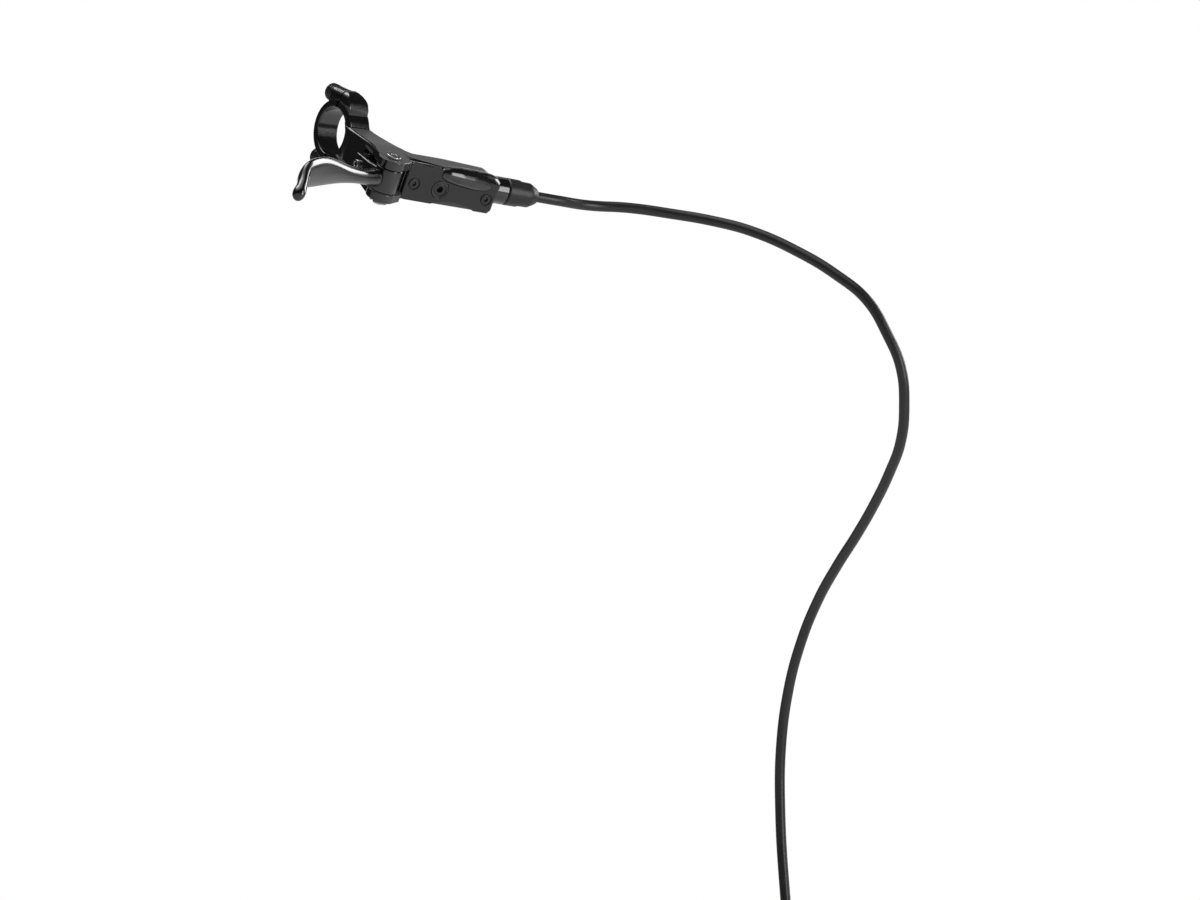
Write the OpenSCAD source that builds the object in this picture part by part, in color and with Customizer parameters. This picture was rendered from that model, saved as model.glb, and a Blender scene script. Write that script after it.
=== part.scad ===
// Hydraulic disc brake for a bicycle's front wheel: the brake lever with its master cylinder,
// the hose, the caliper with its pads, and the disc rotor, in the places they have on a bicycle.
// The origin is the centre of the bar clamp. +X runs outwards along the grip, +Y forwards, +Z up.

/* [Bar clamp] */
// Diameter of the handlebar
bar_d = 22.2; // [22:0.1:25]
// Width of the clamp along the bar
clamp_w = 11.5; // [11:0.5:14]
// Wall of the clamp round the bar
clamp_wall = 3.4; // [3:0.1:4.5]
// Gap between the two clamp halves
clamp_gap = 1.6; // [1:0.1:2.4]
// Turn of the clamp's bolts from the plane of the lever, in degrees
clamp_turn = 10; // [0:1:20]
// Length of the clamp lugs along the bolts
lug_len = 11; // [10:0.5:12]

/* [Lever body] */
// Angle of the lever plane below the level, in degrees
lever_drop = 30; // [10:1:45]
// How far the blade's tip stands outboard of the clamp's middle
blade_tip_x = 75; // [70:1:82]
// Distance of the lever pivot from the clamp centre, along the bar
pivot_x = 5.5; // [4:0.5:6]
// Distance of the lever pivot from the bar's axis, forwards
pivot_y = 51.5; // [48:0.5:56]
// Distance of the hose outlet's face from the clamp centre, along the bar
outlet_x = 62; // [59:1:66]
// Distance of the hose outlet from the bar's axis, forwards
outlet_y = 51; // [48:0.5:54]
// Angle of the master cylinder to the bar, in degrees
cyl_turn = 8; // [4:1:12]
// Height of the slot that the lever turns in
slot_h = 12; // [11:0.5:13]
// Thickness of each pivot ear
ear_t = 4.4; // [3.5:0.1:5]
// Outer radius of the pivot ears
ear_r = 6.8; // [6:0.1:8]
// Radius of the outlet collar
collar_r = 6.4; // [6:0.1:7.5]
// Length of the outlet collar
collar_l = 9; // [7:0.5:11]

/* [Master cylinder] */
// Bore of the master cylinder
bore_d = 10; // [9:0.5:11]
// Distance of the cylinder's axis behind the outlet's axis
bore_back = 3.5; // [2.5:0.1:3.6]
// Depth of metal between the outlet's face and the bore's end
bore_floor = 14; // [13:0.5:16]
// Wall round the bore
bore_wall = 2.1; // [1.8:0.1:2.6]
// Length of the piston
piston_l = 22; // [20:0.5:23]
// Radial clearance of sliding pieces
slide_gap = 0.05; // [0.03:0.01:0.08]
// Diameter of the push rod
rod_d = 3.6; // [3:0.2:4]
// Wire of the return spring
spring_wire = 0.9; // [0.7:0.1:1.1]
// Turns of the return spring
spring_turns = 6; // [4:1:8]

/* [Reservoir] */
// Thickness of the reservoir cover
cover_t = 2; // [1.6:0.1:2.4]
// Distance of the cover's seat from the outlet's axis, forwards
seat_m = 7.2; // [7:0.1:8]
// Thickness of the rubber diaphragm
membrane_t = 0.8; // [0.6:0.1:1]
// Diameter of the cover screws' heads
cover_head_d = 4.8; // [4.4:0.1:5]
// Diameter of the bleed screw's head
bleed_head_d = 6.4; // [6:0.2:6.8]

/* [Lever blade] */
// Swing of the lever from rest to full squeeze, in degrees
swing = 20; // [12:1:22]
// Diameter of the pivot pin
pin_d = 5; // [4:0.5:6]
// Wall of the pivot bushes
bush_wall = 0.8; // [0.6:0.1:1]
// Radius of the lever's hub
hub_r = 6.5; // [5.8:0.1:6.6]
// Diameter of the reach screw
reach_d = 4; // [3:0.5:4]

/* [Hose] */
// Outer diameter of the hose
hose_d = 5; // [4.8:0.1:5.2]
// Length of the rubber boot over the hose nut
boot_l = 17; // [14:0.5:22]
// Length of the nut's head outside its port
nut_head_l = 6; // [5:0.5:8]

/* [Rotor] */
// Diameter of the rotor
rotor_d = 160; // [160:20:180]
// Thickness of the rotor
rotor_t = 1.8; // [1.7:0.1:2]
// Width of the braking band
band_w = 15; // [13:0.5:16]
// Diameter of the rotor's bolt circle
bolt_circle_d = 44; // [44:1:44]
// Diameter of the six bolt holes
bolt_hole_d = 5.2; // [5:0.1:5.5]
// Metal between the bolt holes and the centre hole
centre_wall = 1.65; // [1.5:0.05:2]

/* [Caliper] */
// Diameter of the caliper pistons
slave_d = 22; // [20:0.5:23]
// Distance between the two fork bolts
post_gap = 74; // [74:1:74]
// Thickness of the pad's friction lining
lining_t = 2.6; // [2:0.1:3.2]
// Thickness of the pad's backing plate
plate_t = 1.8; // [1.6:0.1:2]
// Gap between each pad and the rotor at rest
pad_gap = 0.55; // [0.5:0.05:0.7]
// Width of each caliper half
half_w = 21; // [20:0.5:24]
// Diameter of the fork bolts
post_bolt_d = 6; // [5:0.5:6]

/* [Place on the bicycle] */
// Distance of the rotor's plane from the clamp centre, inwards along the bar
rotor_in = 240; // [200:1:280]
// Distance of the wheel axle forwards of the bar
axle_y = 150; // [145:1:155]
// Distance of the wheel axle below the bar
axle_drop = 600; // [590:1:640]

/* [Hidden] */
$fn = 64;
eps = 0.01;

// Clamp
bar_r = bar_d / 2;
clamp_r = bar_r + clamp_wall;
clamp_bolt_r = 2.5;
clamp_bolt_p = bar_r + clamp_bolt_r + 2;
clamp_head_r = 4.25;
band_lug_len = 9.5;

// Pivot and cylinder places in the frame of the cylinder: s outwards along it, m forwards
span_x = pivot_x + outlet_x;
span_y = pivot_y - outlet_y;
pivot_s = span_x * cos(cyl_turn) - span_y * sin(cyl_turn);
pivot_m = span_x * sin(cyl_turn) + span_y * cos(cyl_turn);
slot_s = pivot_s - ear_r - 3;
body_half_h = slot_h / 2 + ear_t;
hub_h = slot_h - 0.6;
bore_r = bore_d / 2;
bore_m = -bore_back;
half_swing = swing / 2;
heel_arm = (pivot_m - bore_m) / ((1 + cos(half_swing)) / 2);
heel_s = pivot_s + heel_arm * sin(half_swing);
reach_r = reach_d / 2;
push_gap = 0.06;
rod_end_s = heel_s - reach_r - push_gap;
clip_s = slot_s - 3.4;
clip_t = 1;
piston_s1 = clip_s - 0.1;
piston_s0 = piston_s1 - piston_l;
seal_w = 2.4;
seal_r = bore_r - 1.75;
land_w = 1.3;
nose_l = 2.5;
nose_r = 2.2;
cavity_m = bore_m + bore_r + bore_wall;
cavity_s0 = 19;
cavity_s1 = slot_s - 10;
cover_s0 = 8.6;
cover_s1 = slot_s - 1.2;
bleed_s = 37.4;
bleed_z = -1.5;
bleed_boss_r = bleed_head_d / 2 + 1.3;
screw_s = [cover_s0 + 4.2, cover_s1 - 4.2];
screw_z = [-2.4, -0.8];

// Hose and its fittings
hose_r = hose_d / 2;
hose_room = 0.12;
nut_thread_r = 4;
nut_thread_l = 7;
nut_head_r = 4.6;
hose_in = collar_l + 0.6;
olive_l = 4.2;
insert_l = 11;
flange_t = 1;
port_r = 1.2;
well_w = 0.8;
slot_run = 30;
slot_front = 20;
cavity_bend_s = 38;
past_end = 90;

// Rotor and caliper
rotor_r = rotor_d / 2;
centre_d = bolt_circle_d - bolt_hole_d - 2 * centre_wall;
pad_r = rotor_r - band_w / 2 - 1;
pad_h = 13;
pad_w = 26;
slot_half = rotor_t / 2 + 1.2;
plate_x0 = rotor_t / 2 + pad_gap + lining_t;
plate_x1 = plate_x0 + plate_t;
piston_x0 = plate_x1;
slave_r = slave_d / 2;
slave_depth = half_w - 3;
piston_cup_l = slave_depth - piston_x0 - 1.6;
seal_x = plate_x1 + 4;
seal_t = 2;
pocket_half = plate_x1 + 0.35;
cal_rear = 27;
cal_front = 9.5;
cal_half_l = 27;
ear_x = 15;
ear_front = 6;
ear_rear = 6.5;
ear_round_r = 8.2;
window_half = pad_w / 2 + 0.6;
body_bolt_z = 21.5;
body_bolt_y = -12.8;
pin_y = -17.4;
pin_r = 1.6;
port_y = -21.3;
port_x = 14;
port_top = cal_half_l + 2;
cross_z = port_top - 11.5;
nipple_z = 9;
passage_r = 1;
nipple_l = 9.4;
washer_t = 1.2;
post_head_l = 6;
thread_rise = 0.3;
shank_relief = 0.5;
thread_l = 11.7;
travel = heel_arm * 2 * sin(half_swing) * pow(bore_d / slave_d, 2) / 2;

// The hose's route, by hand, in the part's own frame, from the lever down to the caliper
hose_points = [[-110, 47, -28], [-129, 54, -28], [-147, 64, -30], [-160, 77, -33], [-172, 92, -38],
    [-185, 111, -48], [-195, 127, -59], [-204, 139, -71], [-211, 146, -87], [-217, 149, -102],
    [-223, 145, -120], [-229, 136, -135], [-235, 121, -149], [-241, 103, -163], [-246, 85, -176],
    [-250, 66, -190], [-255, 46, -206], [-259, 29, -226], [-262, 17, -248], [-264, 10, -275],
    [-266, 8, -305], [-266, 13, -345], [-264, 24, -390], [-261, 36, -440], [-259, 48, -490],
    [-256, 56, -532]];

hose_sides = 10;
ring_steps = 2;

// Stations of the lever blade in its own plane: place, half thickness and half height
blade_stations = [[9.6, 52.3, -0.2, 3.9, 4.8], [14.8, 53.4, 0, 4.2, 4], [22, 55.2, 0.8, 4.1, 3.4],
    [31, 58, 2.2, 3.8, 4], [39, 61, 3.7, 3.4, 5.2], [47, 64.5, 5.1, 3.1, 6.6], [55, 68.4, 6.1, 2.9, 7.5],
    [62.5, 72.8, 6.6, 2.8, 7.3], [67.4, 75.8, 6.8, 2.8, 6.9], [70, 77.8, 6.3, 2.6, 5.9], [71.1, 80.3, 4.6, 2.4, 4.6],
    [72.8, 83.2, 2.8, 2.6, 3.7], [75, 85.8, 1.6, 3.1, 3.5]];
drawn_tip_x = 75;
blade_sides = 20;
blade_steps = 3;
blade_power = 2.7;

// Frames

module lever_plane() rotate([-lever_drop, 0, 0]) children();

module cylinder_frame()
    lever_plane()
    translate([-outlet_x, outlet_y, 0])
    rotate([0, 0, -cyl_turn])
    children();

module lever_frame()
    cylinder_frame()
    translate([pivot_s, pivot_m, 0])
    rotate([0, 0, half_swing])
    children();

module caliper_frame() translate([-rotor_in, axle_y - pad_r, -axle_drop]) children();

// A turned piece along +X: the profile's points are [radius, place along X]
module turned(points) rotate([0, 90, 0]) rotate_extrude() polygon(points);

module rod(r, x0, x1, y = 0, z = 0)
    translate([x0, y, z]) rotate([0, 90, 0]) cylinder(r = r, h = x1 - x0);

module rod_y(r, y0, y1, x = 0, z = 0)
    translate([x, y0, z]) rotate([-90, 0, 0]) cylinder(r = r, h = y1 - y0);

module hex_rod(across, x0, x1)
    translate([x0, 0, 0]) rotate([0, 90, 0]) cylinder(r = across / 2 / cos(30), h = x1 - x0, $fn = 6);

// A flat outline in X and Z, given a thickness along Y
module wall_xz(y0, y1) translate([0, y1, 0]) rotate([90, 0, 0]) linear_extrude(y1 - y0) children();

// A flat outline in Y and Z, given a thickness along X
module wall_yz(x0, x1)
    translate([x0, 0, 0]) rotate([90, 0, 90]) linear_extrude(x1 - x0) children();

// Bar clamp

// The clamp's lugs: a round boss behind the gap, a tapered block in front of it
module clamp_boss(side)
    rotate([clamp_turn, 0, 0])
    wall_xz(-band_lug_len, -clamp_gap / 2)
    union() {
        translate([0, side * clamp_bolt_p]) circle(clamp_head_r);
        translate([-clamp_head_r, side > 0 ? bar_r - 3 : -clamp_bolt_p])
            square([2 * clamp_head_r, clamp_bolt_p - bar_r + 3]);
    }

module clamp_lug(side)
    rotate([clamp_turn, 0, 0])
    intersection() {
        wall_xz(clamp_gap / 2, lug_len)
            union() {
                translate([0, side * (clamp_bolt_p - 0.6)]) circle(clamp_w / 2 - 0.4);
                translate([0.4 - clamp_w / 2, side > 0 ? bar_r - 4 : 0.6 - clamp_bolt_p])
                    square([clamp_w - 0.8, clamp_bolt_p - bar_r + 3.4]);
            }
        mirror([0, 0, side < 0 ? 1 : 0])
            wall_yz(-clamp_w, clamp_w)
            polygon([[0, 4], [0, clamp_bolt_p + 4.5], [2.5, clamp_bolt_p + 4.1],
                [lug_len - 5, clamp_bolt_p + 2.6], [lug_len - 2.4, clamp_bolt_p + 0.3],
                [lug_len - 0.8, clamp_bolt_p - 2.6], [lug_len - 0.6, 4]]);
    }

module clamp_ring_half(front)
    rotate([clamp_turn, 0, 0])
    intersection() {
        rod(clamp_r, -clamp_w / 2, clamp_w / 2);
        translate([-clamp_w, front ? clamp_gap / 2 : -2 * clamp_r - clamp_gap / 2, -clamp_r])
            cube([2 * clamp_w, 2 * clamp_r, 2 * clamp_r]);
    }

module clamp_bolt_holes(r, q0, q1)
    rotate([clamp_turn, 0, 0])
    for (side = [-1, 1]) rod_y(r, q0, q1, 0, side * clamp_bolt_p);

module bar_hole() rod(bar_r, -clamp_w, clamp_w);

module clamp_band()
    color([0.05, 0.05, 0.055])
    lever_plane()
    difference() {
        union() {
            clamp_ring_half(false);
            for (side = [-1, 1]) clamp_boss(side);
        }
        bar_hole();
        clamp_bolt_holes(clamp_bolt_r + 0.25, -band_lug_len - 1, 0);
    }

module clamp_bolts()
    color([0.08, 0.08, 0.085])
    lever_plane()
    rotate([clamp_turn, 0, 0])
    for (side = [-1, 1])
        translate([0, 0, side * clamp_bolt_p])
        difference() {
            union() {
                rod_y(clamp_bolt_r, -band_lug_len - 1, lug_len - 5.8);
                rod_y(clamp_head_r, -band_lug_len - 4.8, -band_lug_len);
            }
            translate([0, -band_lug_len - 4.8 - eps, 0]) rotate([-90, 0, 0])
                cylinder(r = 2.3, h = 3, $fn = 6);
        }

// Lever body

// The bridge from the clamp to the pivot ears and the cylinder, seen from above
module bridge_outline()
    union() {
        polygon([[-clamp_w / 2, 8], [clamp_w / 2, 8], [clamp_w / 2 + 0.4, 18],
            [clamp_w / 2 + 1.6, 31], [pivot_x + 4.9, pivot_y - 5.4],
            [pivot_x + 2.2, pivot_y + 6.4], [pivot_x - 2, pivot_y + 6.5],
            [pivot_x - 9.2, pivot_y + 2.9], [pivot_x - 9.9, pivot_y - 1.6], [-34, 47], [-34, 44.5],
            [-19, 44], [-14, 43.2], [-11, 41.8], [-9, 39.4], [-8, 36], [-7.2, 30], [-6.6, 20]]);
        translate([pivot_x, pivot_y]) circle(ear_r);
    }

// The bridge seen from the side, thin at the clamp and as high as the ears at the pivot
module bridge_side()
    polygon([[6, -7.2], [15, -7.4], [38, -body_half_h + 0.6], [60, -body_half_h],
        [60, body_half_h], [38, body_half_h - 0.6], [15, 7.4], [6, 7.2]]);

module bridge()
    intersection() {
        translate([0, 0, -body_half_h]) linear_extrude(2 * body_half_h) bridge_outline();
        wall_yz(-past_end, past_end) bridge_side();
        translate([-outlet_x, outlet_y, 0]) rotate([0, 0, -cyl_turn])
            wall_xz(-past_end, past_end)
            polygon([[0, -9], [cover_s0, -9.4], [slot_s, -body_half_h], [past_end, -body_half_h],
                [past_end, body_half_h], [slot_s, body_half_h], [cover_s0 + 3, 7.2], [0, 6]]);
    }

// The cylinder block: its plan, its front outline and its cross-section, in the cylinder's frame
module block_plan()
    polygon([[collar_l - 1, -5], [collar_l + 4, -9.2], [32, -bore_back - bore_r - bore_wall],
        [slot_s, -bore_back - bore_r - bore_wall], [slot_s, seat_m], [cover_s0, seat_m],
        [cover_s0, 2], [collar_l - 1, 2]]);

module block_front()
    polygon([[cover_s0, -7.6], [cover_s0 + 1.4, -9.4], [slot_s, -body_half_h + 0.4],
        [slot_s, body_half_h], [cover_s0 + 3, 7.2], [cover_s0, 6.2]]);

module block_section()
    polygon([[seat_m, -9], [seat_m - 1.6, -body_half_h], [-1.5, -9.8], [-5, -8.6], [-9.4, -5.2],
        [-11.5, 0], [-9.4, 5.2], [-5, 8.6], [-1.5, 9.8], [seat_m - 1.6, body_half_h], [seat_m, 9]]);

// The rounded shoulder that runs from the outlet's collar into the top of the front face
module shoulder(grow = 0)
    translate([7, 3.4, 3])
    rotate([0, -6.1, 7.8])
    turned([[0, -grow], [3.4 + grow, 0], [4.4 + grow, 1.5], [4.9 + grow, 4], [5.1 + grow, 9],
        [4.95 + grow, 15], [4.4 + grow, 23], [3.5 + grow, 29], [2.2 + grow, 32.2], [0, 33.6 + grow]]);

module cylinder_block()
    union() {
        intersection() {
            translate([0, 0, -body_half_h]) linear_extrude(2 * body_half_h) block_plan();
            wall_xz(-past_end, past_end) block_front();
            wall_yz(0, slot_s) block_section();
        }
        shoulder();
        turned([[0, 0], [collar_r - 0.5, 0], [collar_r, 0.5], [collar_r, collar_l], [6, collar_l + 3],
            [0, collar_l + 3]]);
        rod(bore_r + bore_wall, bore_floor - 2, slot_s, bore_m);
    }

module cavity_outline()
    difference() {
        polygon([[cavity_s0, -6.8], [cavity_s1, -7.2], [cavity_s1, 6.6], [cavity_s1 - 4, 6.6],
            [cavity_bend_s, 1.6], [cavity_s0, -1.4]]);
        translate([bleed_s, bleed_z]) circle(bleed_boss_r);
    }

// The space that the lever's hub, heel and blade swing in
module lever_slot()
    translate([0, 0, -slot_h / 2])
    linear_extrude(slot_h)
    polygon([[slot_s, pivot_m + slot_front], [slot_s, bore_m - 6.4], [slot_s + slot_run, bore_m - 6.4],
        [slot_s + slot_run + 10, pivot_m + slot_front]]);

module lever_body()
    color([0.035, 0.035, 0.04])
    difference() {
        union() {
            lever_plane() {
                clamp_ring_half(true);
                for (side = [-1, 1]) clamp_lug(side);
                bridge();
            }
            cylinder_frame() {
                cylinder_block();
                rod_y(bleed_boss_r - 0.4, cavity_m - 1, seat_m + cover_t, bleed_s, bleed_z);
            }
        }
        lever_plane() {
            bar_hole();
            clamp_bolt_holes(clamp_bolt_r, 0, lug_len - 5.4);
            translate([pivot_x, pivot_y, -body_half_h - 1]) cylinder(r = pin_d / 2, h = 40);
        }
        cylinder_frame() {
            lever_slot();
            rod(bore_r, bore_floor, slot_s + 1, bore_m);
            rod(bore_r + 0.6, clip_s, clip_s + clip_t, bore_m);
            rod(nut_thread_r, -1, nut_thread_l);
            rod(hose_r + hose_room, nut_thread_l - 1, hose_in + flange_t + 0.2);
            rod(port_r, hose_in, bore_floor + 1);
            wall_xz(cavity_m, seat_m + 1) cavity_outline();
            rod_y(0.4, bore_m, cavity_m + 1, piston_s0 + 0.6, -2.5);
            rod_y(1, bore_m, cavity_m + 1, piston_s0 + 12.5, -1.5);
            rod_y(1.25, bore_m + bore_r + 0.8, seat_m + 1, screw_s[0], screw_z[0]);
            rod_y(1.25, bore_m + bore_r + 0.8, seat_m + 1, screw_s[1], screw_z[1]);
            rod_y(0.8, bore_m, seat_m, bleed_s, bleed_z);
            rod_y(1.9, cavity_m + 1.5, seat_m + cover_t + 1, bleed_s, bleed_z);
            rod_y(bleed_head_d / 2 + 0.05, seat_m + cover_t - 1.6, seat_m + cover_t + 1, bleed_s, bleed_z);
            rod_y(bleed_head_d / 2 + 0.5, seat_m + cover_t - 0.4, seat_m + cover_t + 1, bleed_s, bleed_z);
        }
    }

// Reservoir

module cover_outline()
    difference() {
        polygon([[cover_s0, -7.6], [cover_s0 + 1.4, -9.2], [cover_s1 - 1.2, -9.2], [cover_s1, -8],
            [cover_s1, 8.2], [cover_s1 - 1.2, 9.4], [44, 8.6], [cover_s0 + 3, 5.6],
            [cover_s0, 4.4]]);
        translate([bleed_s, bleed_z]) circle(bleed_boss_r - 0.2);
        translate([28.5, -36.9]) circle(r = 30, $fn = 120);
    }

module reservoir_cover()
    color([0.03, 0.03, 0.035])
    cylinder_frame()
    difference() {
        wall_xz(seat_m, seat_m + cover_t) cover_outline();
        shoulder(0.15);
        for (i = [0, 1]) {
            rod_y(1.6, seat_m - 1, seat_m + 5, screw_s[i], screw_z[i]);
            rod_y(cover_head_d / 2 + 0.15, seat_m + 0.8, seat_m + 5, screw_s[i], screw_z[i]);
            rod_y(cover_head_d / 2 + well_w, seat_m + cover_t - 0.5, seat_m + 5, screw_s[i], screw_z[i]);
        }
    }

module diaphragm()
    color([0.06, 0.06, 0.06])
    cylinder_frame()
    translate([0, seat_m - membrane_t, 0])
    wall_xz(0, membrane_t)
    difference() {
        polygon([[cavity_s0 + 0.3, -6.5], [cavity_s1 - 0.3, -6.9], [cavity_s1 - 0.3, 6.3],
            [cavity_s1 - 3.9, 6.3], [37.9, 1.2], [cavity_s0 + 0.3, -1.75]]);
        translate([bleed_s, bleed_z]) circle(bleed_boss_r + 0.2);
    }

module cover_screws()
    color([0.1, 0.1, 0.1])
    cylinder_frame()
    for (i = [0, 1])
        translate([screw_s[i], 0, screw_z[i]])
        difference() {
            union() {
                rod_y(1.25, bore_m + bore_r + 1.2, seat_m + 1);
                rod_y(cover_head_d / 2, seat_m + 0.8, seat_m + cover_t);
            }
            translate([0, seat_m + 1.2, 0]) rotate([-90, 0, 0]) cylinder(r = 1.2, h = 4, $fn = 6);
        }

module bleed_screw()
    color([0.1, 0.1, 0.1])
    cylinder_frame()
    translate([bleed_s, 0, bleed_z])
    difference() {
        union() {
            rod_y(1.9, cavity_m + 1.7, seat_m + 1);
            rod_y(bleed_head_d / 2, seat_m + cover_t - 1.6, seat_m + cover_t - 0.3);
        }
        translate([0, seat_m - 0.6, 0]) rotate([-90, 0, 0]) cylinder(r = 1.7, h = 4, $fn = 6);
    }

// Lever blade

function spline(a, b, c, d, t) =
    0.5 * ((2 * b) + (c - a) * t + (2 * a - 5 * b + 4 * c - d) * t * t
    + (3 * b - a - 3 * c + d) * t * t * t);

// Every point of a smooth line through the given points, steps apart
function smooth_line(p, steps) = [
    for (i = [0 : len(p) - 2], k = [0 : steps - 1])
        spline(p[max(i - 1, 0)], p[i], p[i + 1], p[min(i + 2, len(p) - 1)], k / steps),
    p[len(p) - 1]];

function unit(v) = v / norm(v);

// Triangles and end caps of a tube of rings, each with the same number of sides
function tube_faces(rings, sides) = concat(
    [for (i = [0 : rings - 2], j = [0 : sides - 1])
        [i * sides + j, (i + 1) * sides + (j + 1) % sides, i * sides + (j + 1) % sides]],
    [for (i = [0 : rings - 2], j = [0 : sides - 1])
        [i * sides + j, (i + 1) * sides + j, (i + 1) * sides + (j + 1) % sides]],
    [[for (j = [0 : sides - 1]) j]],
    [[for (j = [sides - 1 : -1 : 0]) (rings - 1) * sides + j]]);

function power_of(v, p) = sign(v) * pow(abs(v), 2 / p);

// The ring of the blade round one station, square to the blade's run
function blade_ring(s, run) = let (n = unit([-run[1], run[0], 0])) [
    for (j = [0 : blade_sides - 1]) let (a = 360 * j / blade_sides)
        [s[0], s[1], s[2]] + n * s[3] * power_of(cos(a), blade_power)
        + [0, 0, s[4] * power_of(sin(a), blade_power)]];

function station_x(x) = pivot_x + (x - pivot_x) * (blade_tip_x - pivot_x) / (drawn_tip_x - pivot_x);

function blade_rings() = let (
    stations = [for (s = blade_stations) [station_x(s[0]), s[1], s[2], s[3], s[4]]],
    line = smooth_line(stations, blade_steps), last = len(line) - 1,
    tip = line[last], tip_run = unit([for (k = [0 : 2]) tip[k] - line[last - 1][k]]))
    concat([for (i = [0 : last]) let (a = line[max(i - 1, 0)], b = line[min(i + 1, last)])
        blade_ring(line[i], [b[0] - a[0], b[1] - a[1]])],
        [for (a = [35, 60, 78]) blade_ring([tip[0] + tip_run[0] * 3.4 * sin(a),
            tip[1] + tip_run[1] * 3.4 * sin(a), tip[2], tip[3] * cos(a), tip[4] * (0.25 + 0.75 * cos(a))],
            tip_run)]);

module blade_loft() {
    rings = blade_rings();
    polyhedron(points = [for (r = rings, p = r) p], faces = tube_faces(len(rings), blade_sides),
        convexity = 4);
}

module lever_blade()
    color([0.03, 0.03, 0.035])
    difference() {
        union() {
            lever_plane() blade_loft();
            lever_frame() {
                translate([0, 0, -hub_h / 2]) cylinder(r = hub_r, h = hub_h);
                translate([0, 0, -4.4]) linear_extrude(8.8)
                    polygon([[1.4, -heel_arm - 3.6], [7.4, -heel_arm - 3.6], [7.6, -6], [6, 0],
                        [-5, 0], [-3.4, -6], [1.4, -heel_arm + 4.4]]);
                rod(reach_r + 2.2, 1.4, 7.4, -heel_arm);
            }
        }
        lever_frame() {
            translate([0, 0, -20]) cylinder(r = pin_d / 2 + bush_wall, h = 40);
            rod(reach_r + 0.05, -4, 12, -heel_arm);
        }
    }

module pivot_pin()
    color([0.6, 0.6, 0.62])
    lever_plane()
    translate([pivot_x, pivot_y, 0])
    difference() {
        union() {
            translate([0, 0, -body_half_h - 2.4]) cylinder(r = pin_d / 2, h = 2 * body_half_h + 2.4);
            translate([0, 0, body_half_h]) cylinder(r = pin_d / 2 + 1, h = 1.2);
        }
        translate([0, 0, -body_half_h - 1.7])
            difference() {
                cylinder(r = pin_d, h = 0.8);
                translate([0, 0, -1]) cylinder(r = pin_d / 2 - 0.6, h = 3);
            }
        translate([0, 0, body_half_h - 0.8]) cylinder(r = 1.5, h = 3, $fn = 6);
    }

module pivot_bushes()
    color([0.75, 0.62, 0.3])
    lever_plane()
    translate([pivot_x, pivot_y, 0])
    for (side = [-1, 1])
        translate([0, 0, side > 0 ? 1 : -hub_h / 2])
        difference() {
            cylinder(r = pin_d / 2 + bush_wall, h = hub_h / 2 - 1);
            translate([0, 0, -1]) cylinder(r = pin_d / 2 + slide_gap, h = 20);
        }

module pivot_clip()
    color([0.2, 0.2, 0.22])
    lever_plane()
    translate([pivot_x, pivot_y, -body_half_h - 1.65])
    difference() {
        cylinder(r = pin_d / 2 + 1.6, h = 0.7);
        translate([0, 0, -1]) cylinder(r = pin_d / 2 - 0.6, h = 3);
        translate([0, -1.3, -1]) cube([8, 2.6, 3]);
    }

module reach_screw()
    color([0.6, 0.6, 0.62])
    lever_frame()
    translate([0, -heel_arm, 0])
    difference() {
        union() {
            rod(reach_r, 0, 9);
            sphere(r = reach_r);
        }
        rotate([0, 90, 0]) translate([0, 0, 6]) cylinder(r = 1.15, h = 4, $fn = 6);
    }

// Master cylinder

module push_rod()
    color([0.6, 0.6, 0.62])
    cylinder_frame()
    translate([0, bore_m, 0])
    turned([[0, piston_s1 - 6.9], [rod_d / 2 - 0.6, piston_s1 - 6.9], [rod_d / 2, piston_s1 - 6.2],
        [rod_d / 2, rod_end_s - 1.4], [rod_d / 2 + 0.8, rod_end_s - 1.4],
        [rod_d / 2 + 0.8, rod_end_s], [0, rod_end_s]]);

module master_piston()
    color([0.7, 0.7, 0.72])
    cylinder_frame()
    translate([0, bore_m, 0])
    turned([[0, piston_s0 - nose_l], [nose_r, piston_s0 - nose_l], [nose_r, piston_s0],
        [bore_r - slide_gap, piston_s0], [bore_r - slide_gap, piston_s0 + land_w],
        [seal_r, piston_s0 + land_w], [seal_r, piston_s0 + land_w + seal_w],
        [bore_r - slide_gap, piston_s0 + land_w + seal_w],
        [bore_r - slide_gap, piston_s0 + 2 * land_w + seal_w],
        [seal_r + 0.4, piston_s0 + 3 * land_w + seal_w],
        [seal_r + 0.4, piston_s1 - 3 * land_w - seal_w],
        [bore_r - slide_gap, piston_s1 - 2 * land_w - seal_w],
        [bore_r - slide_gap, piston_s1 - land_w - seal_w],
        [seal_r, piston_s1 - land_w - seal_w], [seal_r, piston_s1 - land_w],
        [bore_r - slide_gap, piston_s1 - land_w], [bore_r - slide_gap, piston_s1],
        [rod_d / 2 + 0.15, piston_s1], [rod_d / 2 + 0.15, piston_s1 - 6], [rod_d / 2 - 0.5, piston_s1 - 7],
        [0, piston_s1 - 7]]);

// A lip seal in its groove, its lip towards the fluid
module lip_seal(s0)
    color([0.05, 0.05, 0.05])
    cylinder_frame()
    translate([0, bore_m, 0])
    turned([[seal_r, s0], [seal_r + 0.7, s0], [seal_r + 0.9, s0 + 0.7], [bore_r - 0.35, s0],
        [bore_r - 0.02, s0 + 0.1], [bore_r - 0.15, s0 + seal_w], [seal_r, s0 + seal_w]]);

module primary_seal() lip_seal(piston_s0 + land_w);

module secondary_seal() lip_seal(piston_s1 - land_w - seal_w);

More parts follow.
